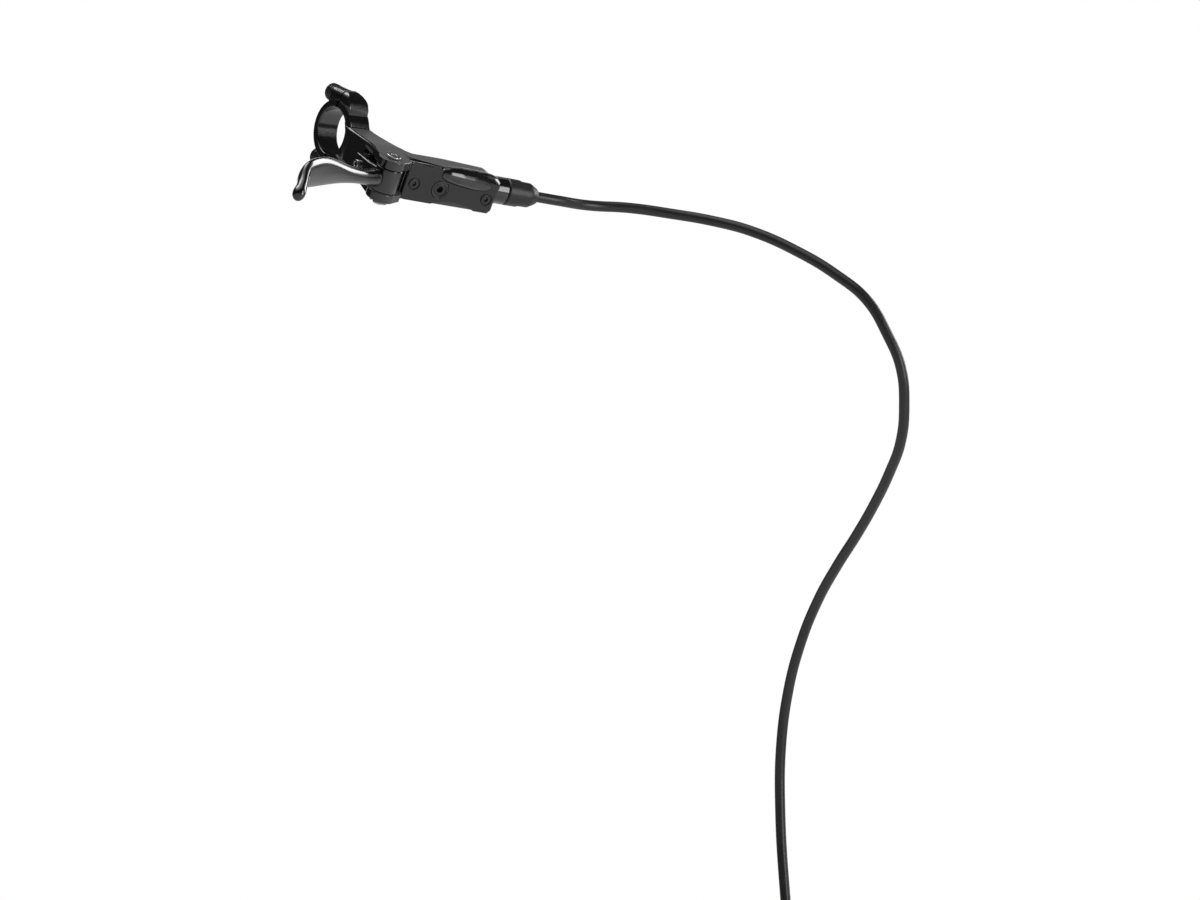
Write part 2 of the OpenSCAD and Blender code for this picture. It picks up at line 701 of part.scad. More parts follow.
// A round wire wound as a spring along X
module coil(mean_r, wire_r, length, turns) {
    steps = 12 * turns;
    sides = 6;
    points = [for (i = [0 : steps], j = [0 : sides - 1]) let (a = 30 * i, b = 360 * j / sides,
        r = mean_r + wire_r * cos(b))
        [wire_r + (length - 2 * wire_r) * i / steps + wire_r * sin(b), r * sin(a), r * cos(a)]];
    polyhedron(points = points, faces = tube_faces(steps + 1, sides), convexity = 6);
}

module return_spring()
    color([0.7, 0.7, 0.72])
    cylinder_frame()
    translate([bore_floor + 0.05, bore_m, 0])
    coil(bore_r - 0.7 - spring_wire, spring_wire / 2, piston_s0 - bore_floor - 0.1, spring_turns);

module piston_circlip()
    color([0.2, 0.2, 0.22])
    cylinder_frame()
    translate([clip_s + 0.05, bore_m, 0])
    difference() {
        rod(bore_r + 0.5, 0, clip_t - 0.1);
        rod(bore_r - 1.2, -1, clip_t + 1);
        translate([-1, -1.2, 0]) cube([clip_t + 2, 2.4, 10]);
    }

// Hose fittings, drawn with the port's mouth at X = 0 and the hose leaving along -X

module fitting_nut()
    color([0.1, 0.1, 0.1])
    difference() {
        union() {
            rod(nut_thread_r - 0.02, 0, nut_thread_l - 1.2);
            intersection() {
                hex_rod(8, -nut_head_l, 0);
                turned([[0, -nut_head_l], [nut_head_r - 0.7, -nut_head_l], [nut_head_r, -nut_head_l + 1],
                    [nut_head_r, 0], [0, 0]]);
            }
        }
        rod(hose_r + hose_room, -nut_head_l - 1, nut_thread_l);
    }

module fitting_olive()
    color([0.75, 0.62, 0.3])
    difference() {
        turned([[0, nut_thread_l - 1.1], [hose_r + 0.5, nut_thread_l - 1.1], [nut_thread_r - 0.3, nut_thread_l - 0.6],
            [nut_thread_r - 0.3, nut_thread_l - 0.1], [0, nut_thread_l - 0.1]]);
        rod(hose_r + 0.02, 0, 20);
    }

module fitting_insert()
    color([0.75, 0.62, 0.3])
    difference() {
        union() {
            rod(hose_r, hose_in + 0.02, hose_in + 0.02 + flange_t);
            turned([[0, hose_in - insert_l], [0.9, hose_in - insert_l], [1.35, hose_in - insert_l + 1.5],
                [1.15, hose_in - insert_l + 1.5], [1.15, hose_in + 0.1], [0, hose_in + 0.1]]);
        }
        rod(0.6, -20, 20);
    }

module fitting_boot(l)
    color([0.05, 0.05, 0.05])
    difference() {
        turned([[0, -l], [hose_r + 1, -l], [hose_r + 1.6, -l + 0.8], [5, -l + 2.6], [5.7, -l + 4],
            [5.9, -nut_head_l - 1.2], [6.3, -nut_head_l - 1.1], [6.4, -0.9], [6, -0.3], [0, -0.3]]);
        rod(nut_head_r + 0.1, -nut_head_l - 0.1, 1);
        rod(hose_r + hose_room, -l - 1, 0);
    }

module lever_hose_nut() cylinder_frame() fitting_nut();

module lever_olive() cylinder_frame() fitting_olive();

module lever_hose_insert() cylinder_frame() fitting_insert();

module lever_hose_boot() cylinder_frame() fitting_boot(boot_l);

// A place in the cylinder's frame, in the part's own frame
function from_cylinder(s) = let (x = s * cos(cyl_turn) - outlet_x, y = outlet_y - s * sin(cyl_turn))
    [x, y * cos(lever_drop), -y * sin(lever_drop)];

function from_port(up) = [-rotor_in - port_x, axle_y - pad_r + port_y, -axle_drop + port_top + up];

// The ring of the hose round one point, square to its run
function hose_ring(p, run) = let (n = unit(cross(run, [0.6, 0.8, 0])), k = unit(cross(run, n))) [
    for (j = [0 : hose_sides - 1]) let (a = 360 * j / hose_sides)
        p + hose_r * (n * cos(a) + k * sin(a))];

module brake_hose() {
    ends_in = [from_cylinder(hose_in), from_cylinder(-boot_l), from_cylinder(-boot_l - 12)];
    ends_out = [from_port(26), from_port(boot_l), from_port(-hose_in)];
    middle = smooth_line(concat([ends_in[1], ends_in[2]], hose_points, [ends_out[0], ends_out[1]]),
        ring_steps);
    line = concat([ends_in[0]], middle, [ends_out[2]]);
    last = len(line) - 1;
    rings = [for (i = [0 : last]) hose_ring(line[i], i == 0 ? line[1] - line[0]
        : i == last ? line[last] - line[last - 1]
        : i == 1 ? line[1] - line[0] : i == last - 1 ? line[last] - line[last - 1]
        : line[i + 1] - line[i - 1])];
    color([0.04, 0.04, 0.04])
        polyhedron(points = [for (r = rings, p = r) p], faces = tube_faces(len(rings), hose_sides),
            convexity = 10);
}

// Caliper, drawn round the middle of the pads: X along the wheel's axle, -Y away from the axle.
// The outer half lies on -X, the side away from the wheel.

module port_frame()
    caliper_frame()
    translate([-port_x, port_y, port_top])
    rotate([0, 90, 0])
    children();

module caliper_hose_nut() port_frame() fitting_nut();

module caliper_olive() port_frame() fitting_olive();

module caliper_hose_insert() port_frame() fitting_insert();

module caliper_hose_boot() port_frame() fitting_boot(boot_l);

// The outline of a caliper half, seen along the wheel's axle
module half_outline()
    difference() {
        polygon([[cal_front, -cal_half_l + 7], [cal_front - 3, -cal_half_l + 1],
            [-3, -cal_half_l], [-cal_rear + 9, -cal_half_l], [-cal_rear + 3, -cal_half_l + 5],
            [-cal_rear, -cal_half_l + 13], [-cal_rear, cal_half_l - 13],
            [-cal_rear + 3, cal_half_l - 5], [-cal_rear + 9, cal_half_l], [-3, cal_half_l],
            [cal_front - 3, cal_half_l - 1], [cal_front, cal_half_l - 7]]);
        translate([rotor_r + cal_front - 4, 0]) circle(r = rotor_r, $fn = 120);
    }

// The room for one pad, open towards the rotor and away from the axle
module pad_room(depth)
    translate([0, -cal_rear - 1, -window_half])
    cube([depth, cal_rear + 1 + pad_h, 2 * window_half]);

// One caliper half as if it lay on +X
module caliper_half()
    difference() {
        union() {
            intersection() {
                wall_yz(0.02, half_w) half_outline();
                wall_xz(-past_end, past_end)
                    polygon([[0, -cal_half_l], [half_w - 7, -cal_half_l], [half_w - 2.5, -cal_half_l + 9],
                        [half_w, -cal_half_l + 15], [half_w, cal_half_l - 15],
                        [half_w - 2.5, cal_half_l - 9], [half_w - 7, cal_half_l], [0, cal_half_l]]);
                translate([0, 0, -past_end]) linear_extrude(2 * past_end)
                    polygon([[0, -cal_rear], [half_w - 9, -cal_rear], [half_w - 2, -cal_rear + 8],
                        [half_w, -cal_rear + 12], [half_w, cal_front - 5], [half_w - 3, cal_front],
                        [0, cal_front]]);
            }
            rod(slave_r + 2.4, slot_half, half_w + 0.8);
            rod(3.8, plate_x1 + 2, half_w, pin_y);
        }
        translate([-1, pad_r, 0]) rotate([0, 90, 0])
            cylinder(r = rotor_r + 2.3, h = slot_half + 1, $fn = 120);
        translate([-1, 0, 0]) pad_room(pocket_half + 1);
        rod(slave_r + slide_gap, 0, slave_depth);
        rod(slave_r + 1.4, seal_x, seal_x + seal_t);
        rod(pin_r + 0.1, -1, half_w + 1, pin_y);
        rod(passage_r, -1, port_x + passage_r, port_y, cross_z);
        rod(2.22, -1, 0.52, port_y, cross_z);
    }

module caliper_outer_half()
    color([0.03, 0.03, 0.035])
    caliper_frame()
    difference() {
        union() {
            mirror([1, 0, 0]) caliper_half();
            for (side = [-1, 1]) fork_ear(side);
            translate([-port_x, port_y, cal_half_l - 13]) cylinder(r = 6.6, h = port_top - cal_half_l + 13);
            rod_y(5, -cal_rear - 3, -cal_rear + 8, -port_x, nipple_z);
        }
        for (side = [-1, 1]) {
            rod_y(post_bolt_d / 2 + 0.35, -past_end, past_end, -ear_x, side * post_gap / 2);
            rod(2.6, -half_w - 2, 1, body_bolt_y, side * body_bolt_z);
            rod(4.6, -half_w - 2, -half_w + 4, body_bolt_y, side * body_bolt_z);
        }
        translate([-port_x, port_y, port_top - nut_thread_l]) cylinder(r = nut_thread_r, h = 20);
        translate([-port_x, port_y, port_top - hose_in - flange_t - 0.2])
            cylinder(r = hose_r + hose_room, h = 20);
        translate([-port_x, port_y, nipple_z]) cylinder(r = port_r, h = port_top - hose_in - nipple_z);
        rod_y(2.5, -cal_rear - 10, -cal_rear + 4, -port_x, nipple_z);
        rod_y(passage_r, -cal_rear, -4, -port_x, nipple_z);
    }

// The ear that one fork bolt goes through, on the outer half
module fork_ear(side)
    union() {
        rod_y(ear_round_r, -ear_rear, ear_front, -ear_x, side * post_gap / 2);
        translate([-ear_x - 6, -ear_rear, side > 0 ? cal_half_l - 12 : -post_gap / 2])
            cube([12, ear_rear + ear_front, post_gap / 2 - cal_half_l + 12]);
    }

module caliper_inner_half()
    color([0.03, 0.03, 0.035])
    caliper_frame()
    difference() {
        caliper_half();
        for (side = [-1, 1]) rod(2.5, -1, half_w - 3, body_bolt_y, side * body_bolt_z);
        translate([port_x, port_y, nipple_z]) cylinder(r = passage_r, h = cross_z - nipple_z);
        rod_y(passage_r, port_y, -4, port_x, nipple_z);
    }

module caliper_body_bolts()
    color([0.1, 0.1, 0.1])
    caliper_frame()
    for (side = [-1, 1])
        translate([0, body_bolt_y, side * body_bolt_z])
        difference() {
            union() {
                rod(2.5, -half_w + 3, half_w - 4);
                rod(4.25, -half_w - 0.5, -half_w + 4);
            }
            translate([-half_w - 1, 0, 0]) rotate([0, 90, 0]) cylinder(r = 2.3, h = 3, $fn = 6);
        }

module transfer_o_ring()
    color([0.05, 0.05, 0.05])
    caliper_frame()
    difference() {
        rod(2.2, -0.5, 0.5, port_y, cross_z);
        rod(1.2, -1, 1, port_y, cross_z);
    }

module slave_piston(side)
    color([0.85, 0.84, 0.8])
    caliper_frame()
    mirror([side < 0 ? 1 : 0, 0, 0])
    turned([[0, piston_x0 + 3], [slave_r - 3, piston_x0 + 3], [slave_r - 3, piston_x0],
        [slave_r - 0.6, piston_x0], [slave_r, piston_x0 + 0.6],
        [slave_r, piston_x0 + piston_cup_l], [0, piston_x0 + piston_cup_l]]);

module outer_piston() slave_piston(-1);

module inner_piston() slave_piston(1);

module piston_seals()
    color([0.05, 0.05, 0.05])
    caliper_frame()
    for (side = [-1, 1])
        mirror([side < 0 ? 1 : 0, 0, 0])
        difference() {
            rod(slave_r + 1.38, seal_x + 0.03, seal_x + seal_t - 0.03);
            rod(slave_r + 0.02, 0, 30);
        }

// The outline of a pad, seen along the wheel's axle
module pad_outline(grow)
    intersection() {
        translate([-pad_h / 2 - grow, -pad_w / 2 + 0.4 - grow])
            square([pad_h + 2 * grow, pad_w - 0.8 + 2 * grow]);
        translate([pad_r, 0]) circle(r = pad_r + pad_h / 2 + grow, $fn = 120);
    }

module pad_plate(side)
    color([0.45, 0.42, 0.38])
    caliper_frame()
    mirror([side < 0 ? 1 : 0, 0, 0])
    difference() {
        wall_yz(plate_x0, plate_x1 - 0.02)
            union() {
                pad_outline(0.4);
                translate([-pad_h / 2 - 7, -6]) square([8, 12]);
                translate([pin_y, 0]) circle(r = 4.6);
            }
        rod(pin_r + 0.2, 0, 20, pin_y);
    }

module pad_lining(side)
    color([0.3, 0.27, 0.24])
    caliper_frame()
    mirror([side < 0 ? 1 : 0, 0, 0])
    difference() {
        wall_yz(plate_x0 - lining_t, plate_x0) pad_outline(0);
        translate([0, -pad_h, -0.6]) cube([plate_x0 - lining_t / 2, 2 * pad_h, 1.2]);
    }

module outer_pad_plate() pad_plate(-1);

module outer_pad_lining() pad_lining(-1);

module inner_pad_plate() pad_plate(1);

module inner_pad_lining() pad_lining(1);

// The folded leaf between the pads' plates that holds them apart
module pad_spring()
    color([0.75, 0.75, 0.77])
    caliper_frame()
    difference() {
        translate([-plate_x0 + 0.15, -pad_h / 2 - 6.6, -8]) cube([2 * plate_x0 - 0.3, 5.2, 16]);
        translate([-plate_x0 + 0.65, -pad_h / 2 - 6.1, -9]) cube([2 * plate_x0 - 1.3, 9, 18]);
        translate([0, -pad_h / 2 - 10, 0]) rotate([-90, 0, 0]) cylinder(r = 3, h = 8);
    }

module pad_pin()
    color([0.7, 0.7, 0.72])
    caliper_frame()
    difference() {
        union() {
            rod(pin_r, -half_w - 2.6, half_w + 1, pin_y);
            rod(pin_r + 1.4, half_w, half_w + 1.6, pin_y);
        }
        difference() {
            rod(pin_r + 2, -half_w - 1.4, -half_w - 0.6, pin_y);
            rod(pin_r - 0.5, -half_w - 2, -half_w, pin_y);
        }
        translate([half_w + 0.8, pin_y, 0]) rotate([0, 90, 0]) cylinder(r = 1.2, h = 3, $fn = 6);
    }

module pad_pin_clip()
    color([0.7, 0.7, 0.72])
    caliper_frame()
    translate([-half_w - 1.35, pin_y, 0])
    difference() {
        rod(pin_r + 1.7, 0, 0.7);
        rod(pin_r - 0.48, -1, 3);
        translate([-1, 0, -1]) cube([3, 8, 2]);
    }

module bleed_nipple()
    color([0.6, 0.6, 0.62])
    caliper_frame()
    translate([-port_x, -cal_rear - 3, nipple_z])
    rotate([0, 0, -90])
    difference() {
        union() {
            rod(2.48, -6, 0.1);
            hex_rod(7, 0.05, 4);
            turned([[0, 4], [1.9, 4], [1.9, nipple_l - 2.8], [2.4, nipple_l - 2], [1.7, nipple_l],
                [0, nipple_l]]);
        }
        rod(0.6, -8, nipple_l + 3);
    }

module bleed_cap()
    color([0.04, 0.04, 0.04])
    caliper_frame()
    translate([-port_x, -cal_rear - 3, nipple_z])
    rotate([0, 0, -90])
    difference() {
        turned([[0, 4.1], [3.4, 4.1], [3.4, 6], [3.1, nipple_l + 1], [2, nipple_l + 2.2],
            [0, nipple_l + 2.2]]);
        turned([[0, 3], [2.45, 3], [2.45, nipple_l + 0.1], [0, nipple_l + 0.1]]);
    }

module fork_bolts()
    color([0.1, 0.1, 0.1])
    caliper_frame()
    for (side = [-1, 1])
        translate([-ear_x, 0, side * post_gap / 2])
        difference() {
            union() {
                rod_y(post_bolt_d / 2, ear_front + thread_rise, ear_front + thread_rise + thread_l);
                rod_y(post_bolt_d / 2 - shank_relief, -ear_rear - washer_t - 1, ear_front + thread_l);
                rod_y(5, -ear_rear - washer_t - post_head_l, -ear_rear - washer_t);
            }
            translate([0, -ear_rear - washer_t - post_head_l - 1, 0])
                rotate([-90, 0, 0]) cylinder(r = 2.9, h = 4.2, $fn = 6);
        }

module fork_washers()
    color([0.6, 0.6, 0.62])
    caliper_frame()
    for (side = [-1, 1])
        translate([-ear_x, 0, side * post_gap / 2])
        difference() {
            rod_y(6, -ear_rear - washer_t, -ear_rear);
            rod_y(post_bolt_d / 2 + 0.1, -ear_rear - 3, 0);
        }

// Rotor

band_in_r = rotor_r - band_w;
hub_ring_r = bolt_circle_d / 2 + 5.4;

module rotor_disc(r) cylinder(r = r, h = rotor_t, $fn = 180);

// A leaning arm from the bolt ring to the band
module rotor_arm()
    linear_extrude(rotor_t)
    polygon([[(hub_ring_r - 3) * cos(-14), (hub_ring_r - 3) * sin(-14)],
        [(hub_ring_r - 3) * cos(9), (hub_ring_r - 3) * sin(9)],
        [(band_in_r + 2) * cos(30), (band_in_r + 2) * sin(30)],
        [(band_in_r + 2) * cos(21), (band_in_r + 2) * sin(21)]]);

module rotor_hole(r, x)
    translate([x, 0, -1]) cylinder(r = r, h = rotor_t + 2, $fn = 24);

module disc_rotor()
    color([0.75, 0.75, 0.77])
    translate([-rotor_in - rotor_t / 2, axle_y, -axle_drop])
    rotate([90, 0, 90])
    difference() {
        union() {
            difference() {
                rotor_disc(rotor_r);
                translate([0, 0, -1]) cylinder(r = band_in_r, h = rotor_t + 2, $fn = 180);
            }
            rotor_disc(hub_ring_r);
            for (k = [0 : 5]) rotate(60 * k) rotor_arm();
        }
        translate([0, 0, -1]) cylinder(d = centre_d, h = rotor_t + 2, $fn = 120);
        for (k = [0 : 5]) rotate(60 * k) rotor_hole(bolt_hole_d / 2, bolt_circle_d / 2);
        for (k = [0 : 23], i = [0 : 2]) rotate(15 * k + 4.2 * i) rotor_hole(1.7, band_in_r + 3.4 + 4 * i);
    }

lever_body();
clamp_band();
clamp_bolts();
reservoir_cover();
diaphragm();
cover_screws();
bleed_screw();
lever_blade();
pivot_pin();
pivot_bushes();
pivot_clip();
reach_screw();
push_rod();
master_piston();
primary_seal();
secondary_seal();
return_spring();
piston_circlip();
lever_hose_nut();
lever_olive();
lever_hose_insert();
lever_hose_boot();
brake_hose();
caliper_hose_boot();
caliper_hose_nut();
caliper_olive();
caliper_hose_insert();
caliper_outer_half();
caliper_inner_half();
caliper_body_bolts();
transfer_o_ring();
outer_piston();
inner_piston();
piston_seals();
outer_pad_plate();
outer_pad_lining();
inner_pad_plate();
inner_pad_lining();
pad_spring();
pad_pin();
pad_pin_clip();
bleed_nipple();
bleed_cap();
fork_bolts();
fork_washers();
disc_rotor();
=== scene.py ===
"""A bicycle's front hydraulic disc brake, from its bar clamp to its rotor."""
import math

import bmesh
import bpy
from mathutils import Matrix, Vector
from mathutils.geometry import intersect_point_line


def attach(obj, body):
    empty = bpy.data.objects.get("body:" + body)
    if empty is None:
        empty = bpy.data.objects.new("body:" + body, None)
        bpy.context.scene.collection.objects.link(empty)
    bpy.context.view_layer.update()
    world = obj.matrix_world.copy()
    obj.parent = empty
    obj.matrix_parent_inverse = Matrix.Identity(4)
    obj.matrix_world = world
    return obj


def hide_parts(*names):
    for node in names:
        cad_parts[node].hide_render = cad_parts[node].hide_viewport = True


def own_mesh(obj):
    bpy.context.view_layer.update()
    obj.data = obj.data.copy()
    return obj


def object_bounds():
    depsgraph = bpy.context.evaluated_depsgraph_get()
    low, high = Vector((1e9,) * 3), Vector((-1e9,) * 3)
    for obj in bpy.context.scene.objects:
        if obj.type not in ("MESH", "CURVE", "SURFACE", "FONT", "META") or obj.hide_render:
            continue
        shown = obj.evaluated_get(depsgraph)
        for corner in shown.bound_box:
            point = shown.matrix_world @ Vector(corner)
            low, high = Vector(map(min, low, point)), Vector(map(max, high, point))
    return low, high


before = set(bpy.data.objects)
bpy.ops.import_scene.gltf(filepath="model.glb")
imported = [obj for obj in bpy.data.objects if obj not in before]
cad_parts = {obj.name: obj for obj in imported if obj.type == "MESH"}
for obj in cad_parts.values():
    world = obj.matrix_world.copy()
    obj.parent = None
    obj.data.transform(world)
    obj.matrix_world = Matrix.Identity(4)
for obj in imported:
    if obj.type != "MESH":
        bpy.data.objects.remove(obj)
cad_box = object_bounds()
link = bpy.context.scene.collection.objects.link

# The picture's view: a long lens from the front and right of the handlebar,
# a little below it, so the lever stands high and left in the frame.
VIEW_YAW = math.radians(-142.366)
VIEW_PITCH = math.radians(4.609)
VIEW_ROLL = math.radians(1.434)
view_line = Vector((math.sin(VIEW_YAW) * math.cos(VIEW_PITCH),
                    math.cos(VIEW_YAW) * math.cos(VIEW_PITCH), math.sin(VIEW_PITCH)))
view_right = Vector((math.cos(VIEW_YAW), -math.sin(VIEW_YAW), 0))
view_up = view_right.cross(view_line)
rolled_right = view_right * math.cos(VIEW_ROLL) + view_up * math.sin(VIEW_ROLL)
rolled_up = -view_right * math.sin(VIEW_ROLL) + view_up * math.cos(VIEW_ROLL)
camera = bpy.data.objects.new("camera", bpy.data.cameras.new("camera"))
camera.matrix_world = Matrix((rolled_right, rolled_up, -view_line)).transposed().to_4x4()
camera.location = (1.718, 2.431, -0.385)
camera.data.sensor_width = 36
camera.data.lens = 193.52
camera.data.clip_end = 30
link(camera)
bpy.context.scene.camera = camera

# The brake hose: a 5 mm tube with a black nylon jacket, pushed over a barbed
# insert at each end. It leaves the lever inboard, bows out ahead of the bar,
# and drops along the fork's leg to the caliper.
HOSE_DIAMETER = 0.005
LEVER_DROP = math.radians(30)
CYLINDER_TURN = math.radians(8)
LEVER_PLANE = Matrix.Rotation(-LEVER_DROP, 4, "X")
CYLINDER = (LEVER_PLANE @ Matrix.Translation((-0.062, 0.051, 0))
            @ Matrix.Rotation(-CYLINDER_TURN, 4, "Z"))
CALIPER_PORT = Matrix.Translation((-0.254, 0.0572, -0.571))
HOSE_IN = 0.0096
BOOT_LENGTH = 0.017
STRAIGHT_PAST_LEVER_BOOT = 0.012
STRAIGHT_ABOVE_CALIPER = 0.026
HOSE_ROUTE_MM = (
    (-110, 47, -28), (-129, 54, -28), (-147, 64, -30), (-160, 77, -33), (-172, 92, -38),
    (-185, 111, -48), (-195, 127, -59), (-204, 139, -71), (-211, 146, -87), (-217, 149, -102),
    (-223, 145, -120), (-229, 136, -135), (-235, 121, -149), (-241, 103, -163), (-246, 85, -176),
    (-250, 66, -190), (-255, 46, -206), (-259, 29, -226), (-262, 17, -248), (-264, 10, -275),
    (-266, 8, -305), (-266, 13, -345), (-264, 24, -390), (-261, 36, -440), (-259, 48, -490),
    (-256, 56, -532))
hose_exit = CYLINDER @ Vector((-BOOT_LENGTH, 0, 0))
hose_points = ([CYLINDER @ Vector((HOSE_IN, 0, 0)), hose_exit,
                CYLINDER @ Vector((-BOOT_LENGTH - STRAIGHT_PAST_LEVER_BOOT, 0, 0))]
               + [Vector(point) / 1000 for point in HOSE_ROUTE_MM]
               + [CALIPER_PORT @ Vector((0, 0, up))
                  for up in (STRAIGHT_ABOVE_CALIPER, BOOT_LENGTH, -HOSE_IN)])
hose_curve = bpy.data.curves.new("brake_hose_run", "CURVE")
hose_curve.dimensions = "3D"
hose_curve.bevel_depth = 1  # each knot's radius is then the hose's own
hose_curve.bevel_resolution = 6
hose_curve.resolution_u = 8
hose_curve.use_fill_caps = True
hose_line = hose_curve.splines.new("BEZIER")
hose_line.bezier_points.add(len(hose_points) - 1)
for knot, point in zip(hose_line.bezier_points, hose_points):
    knot.co = point
    knot.radius = HOSE_DIAMETER / 2
    knot.handle_left_type = knot.handle_right_type = "AUTO"
brake_hose = bpy.data.objects.new("brake_hose_run", hose_curve)
link(brake_hose)
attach(brake_hose, "assembly")
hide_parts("brake_hose")

# Jacket of the hose: satin black nylon with a fine grain and a little road dust.
# It is the first material, so the helpers that every material uses stand here.
def node_group(name, inputs, outputs):
    group = bpy.data.node_groups.new(name, "ShaderNodeTree")
    for label, kind, value in inputs:
        group.interface.new_socket(label, in_out="INPUT", socket_type=kind).default_value = value
    for label, kind in outputs:
        group.interface.new_socket(label, in_out="OUTPUT", socket_type=kind)
    return group, group.nodes.new("NodeGroupInput"), group.nodes.new("NodeGroupOutput")


def add(tree, kind, **settings):
    node = tree.nodes.new(kind)
    for key, value in settings.items():
        setattr(node, key, value)
    return node


def math_node(tree, operation, first, second, third=None):
    node = add(tree, "ShaderNodeMath", operation=operation)
    for socket, value in zip(node.inputs, (first, second, third)):
        if value is None:
            continue
        if isinstance(value, (int, float)):
            socket.default_value = value
        else:
            tree.links.new(value, socket)
    return node.outputs[0]


def ramp(tree, value, start, end, low=0.0, high=1.0):
    node = add(tree, "ShaderNodeMapRange", clamp=True)
    tree.links.new(value, node.inputs["Value"])
    limits = {"From Min": start, "From Max": end, "To Min": low, "To Max": high}
    for label, number in limits.items():
        node.inputs[label].default_value = number
    return node.outputs["Result"]


def mix_colour(tree, mask, first, second):
    node = add(tree, "ShaderNodeMix", data_type="RGBA")
    factor, colour_a, colour_b = (node.inputs[index] for index in (0, 6, 7))
    for socket, value in ((factor, mask), (colour_a, first), (colour_b, second)):
        if isinstance(value, (tuple, float, int)):
            socket.default_value = value
        else:
            tree.links.new(value, socket)
    return node.outputs[2]


# grain: a fine texture and slow patches, for roughness, bump and tint
grain_group, grain_in, grain_out = node_group(
    "surface_grain",
    (("Scale", "NodeSocketFloat", 900.0), ("Patch Scale", "NodeSocketFloat", 40.0),
     ("Roughness", "NodeSocketFloat", 0.3), ("Roughness Swing", "NodeSocketFloat", 0.05),
     ("Colour", "NodeSocketColor", (0.1, 0.1, 0.1, 1)), ("Tint", "NodeSocketFloat", 0.1)),
    (("Height", "NodeSocketFloat"), ("Roughness", "NodeSocketFloat"),
     ("Colour", "NodeSocketColor")))
FINE_SHARE = 0.6
PATCH_SHARE = 1.4
object_place = add(grain_group, "ShaderNodeTexCoord").outputs["Object"]
fine = add(grain_group, "ShaderNodeTexNoise")
patch = add(grain_group, "ShaderNodeTexNoise")
for noise, label, detail in ((fine, "Scale", 3.0), (patch, "Patch Scale", 5.0)):
    grain_group.links.new(object_place, noise.inputs["Vector"])
    grain_group.links.new(grain_in.outputs[label], noise.inputs["Scale"])
    noise.inputs["Detail"].default_value = detail
both = math_node(grain_group, "ADD",
                 math_node(grain_group, "MULTIPLY", fine.outputs[0], FINE_SHARE),
                 math_node(grain_group, "MULTIPLY", patch.outputs[0], PATCH_SHARE))
uneven = math_node(grain_group, "SUBTRACT", both, 1.0)
grain_group.links.new(fine.outputs[0], grain_out.inputs["Height"])
grain_group.links.new(
    math_node(grain_group, "MULTIPLY_ADD", uneven, grain_in.outputs["Roughness Swing"],
              grain_in.outputs["Roughness"]), grain_out.inputs["Roughness"])
shade = math_node(grain_group, "MULTIPLY_ADD", uneven, grain_in.outputs["Tint"], 1.0)
tinted = add(grain_group, "ShaderNodeVectorMath", operation="SCALE")
grain_group.links.new(grain_in.outputs["Colour"], tinted.inputs[0])
grain_group.links.new(shade, tinted.inputs["Scale"])
grain_group.links.new(tinted.outputs[0], grain_out.inputs["Colour"])

# dust: a thin pale film on what faces up
dust_group, dust_in, dust_out = node_group(
    "settled_dust",
    (("Colour", "NodeSocketColor", (0.1, 0.1, 0.1, 1)),
     ("Dust Colour", "NodeSocketColor", (0.32, 0.29, 0.25, 1)),
     ("Amount", "NodeSocketFloat", 0.05)),
    (("Colour", "NodeSocketColor"), ("Mask", "NodeSocketFloat")))
facing = add(dust_group, "ShaderNodeSeparateXYZ")
dust_group.links.new(add(dust_group, "ShaderNodeTexCoord").outputs["Normal"], facing.inputs[0])
specks = add(dust_group, "ShaderNodeTexNoise")
specks.inputs["Scale"].default_value = 120.0
specks.inputs["Detail"].default_value = 8.0
dust_group.links.new(add(dust_group, "ShaderNodeTexCoord").outputs["Object"],
                     specks.inputs["Vector"])
upward = ramp(dust_group, facing.outputs[2], -0.2, 1.0, 0.25, 1.0)
speckled = ramp(dust_group, specks.outputs[0], 0.35, 0.7)
film = math_node(dust_group, "MULTIPLY", math_node(dust_group, "MULTIPLY", upward, speckled),
                 dust_in.outputs["Amount"])
dust_group.links.new(mix_colour(dust_group, film, dust_in.outputs["Colour"],
                                dust_in.outputs["Dust Colour"]), dust_out.inputs["Colour"])
dust_group.links.new(film, dust_out.inputs["Mask"])
DUST_ROUGHENS = 0.8


def finish(name, colour, roughness, metallic=0.0, grain=900.0, patch=40.0, swing=0.05,
           tint=0.15, relief=0.00001, dust=0.0, coat=0.0, coat_roughness=0.05, height=None):
    """A material of one colour, grained and dusted by the amounts given."""
    material = bpy.data.materials.new(name)
    material.use_nodes = True
    tree = material.node_tree
    shader = tree.nodes["Principled BSDF"]
    shader.inputs["Metallic"].default_value = metallic
    shader.inputs["Coat Weight"].default_value = coat
    shader.inputs["Coat Roughness"].default_value = coat_roughness
    grained = add(tree, "ShaderNodeGroup", node_tree=grain_group)
    for label, value in (("Scale", grain), ("Patch Scale", patch), ("Roughness", roughness),
                         ("Roughness Swing", swing), ("Colour", (*colour, 1)), ("Tint", tint)):
        grained.inputs[label].default_value = value
    dusted = add(tree, "ShaderNodeGroup", node_tree=dust_group)
    dusted.inputs["Amount"].default_value = dust
    tree.links.new(grained.outputs["Colour"], dusted.inputs["Colour"])
    tree.links.new(dusted.outputs["Colour"], shader.inputs["Base Color"])
    tree.links.new(math_node(tree, "MULTIPLY_ADD", dusted.outputs["Mask"], DUST_ROUGHENS,
                             grained.outputs["Roughness"]), shader.inputs["Roughness"])
    bump = add(tree, "ShaderNodeBump")
    bump.inputs["Distance"].default_value = relief
    tree.links.new(height(tree) if height else grained.outputs["Height"], bump.inputs["Height"])
    tree.links.new(bump.outputs["Normal"], shader.inputs["Normal"])
    return material


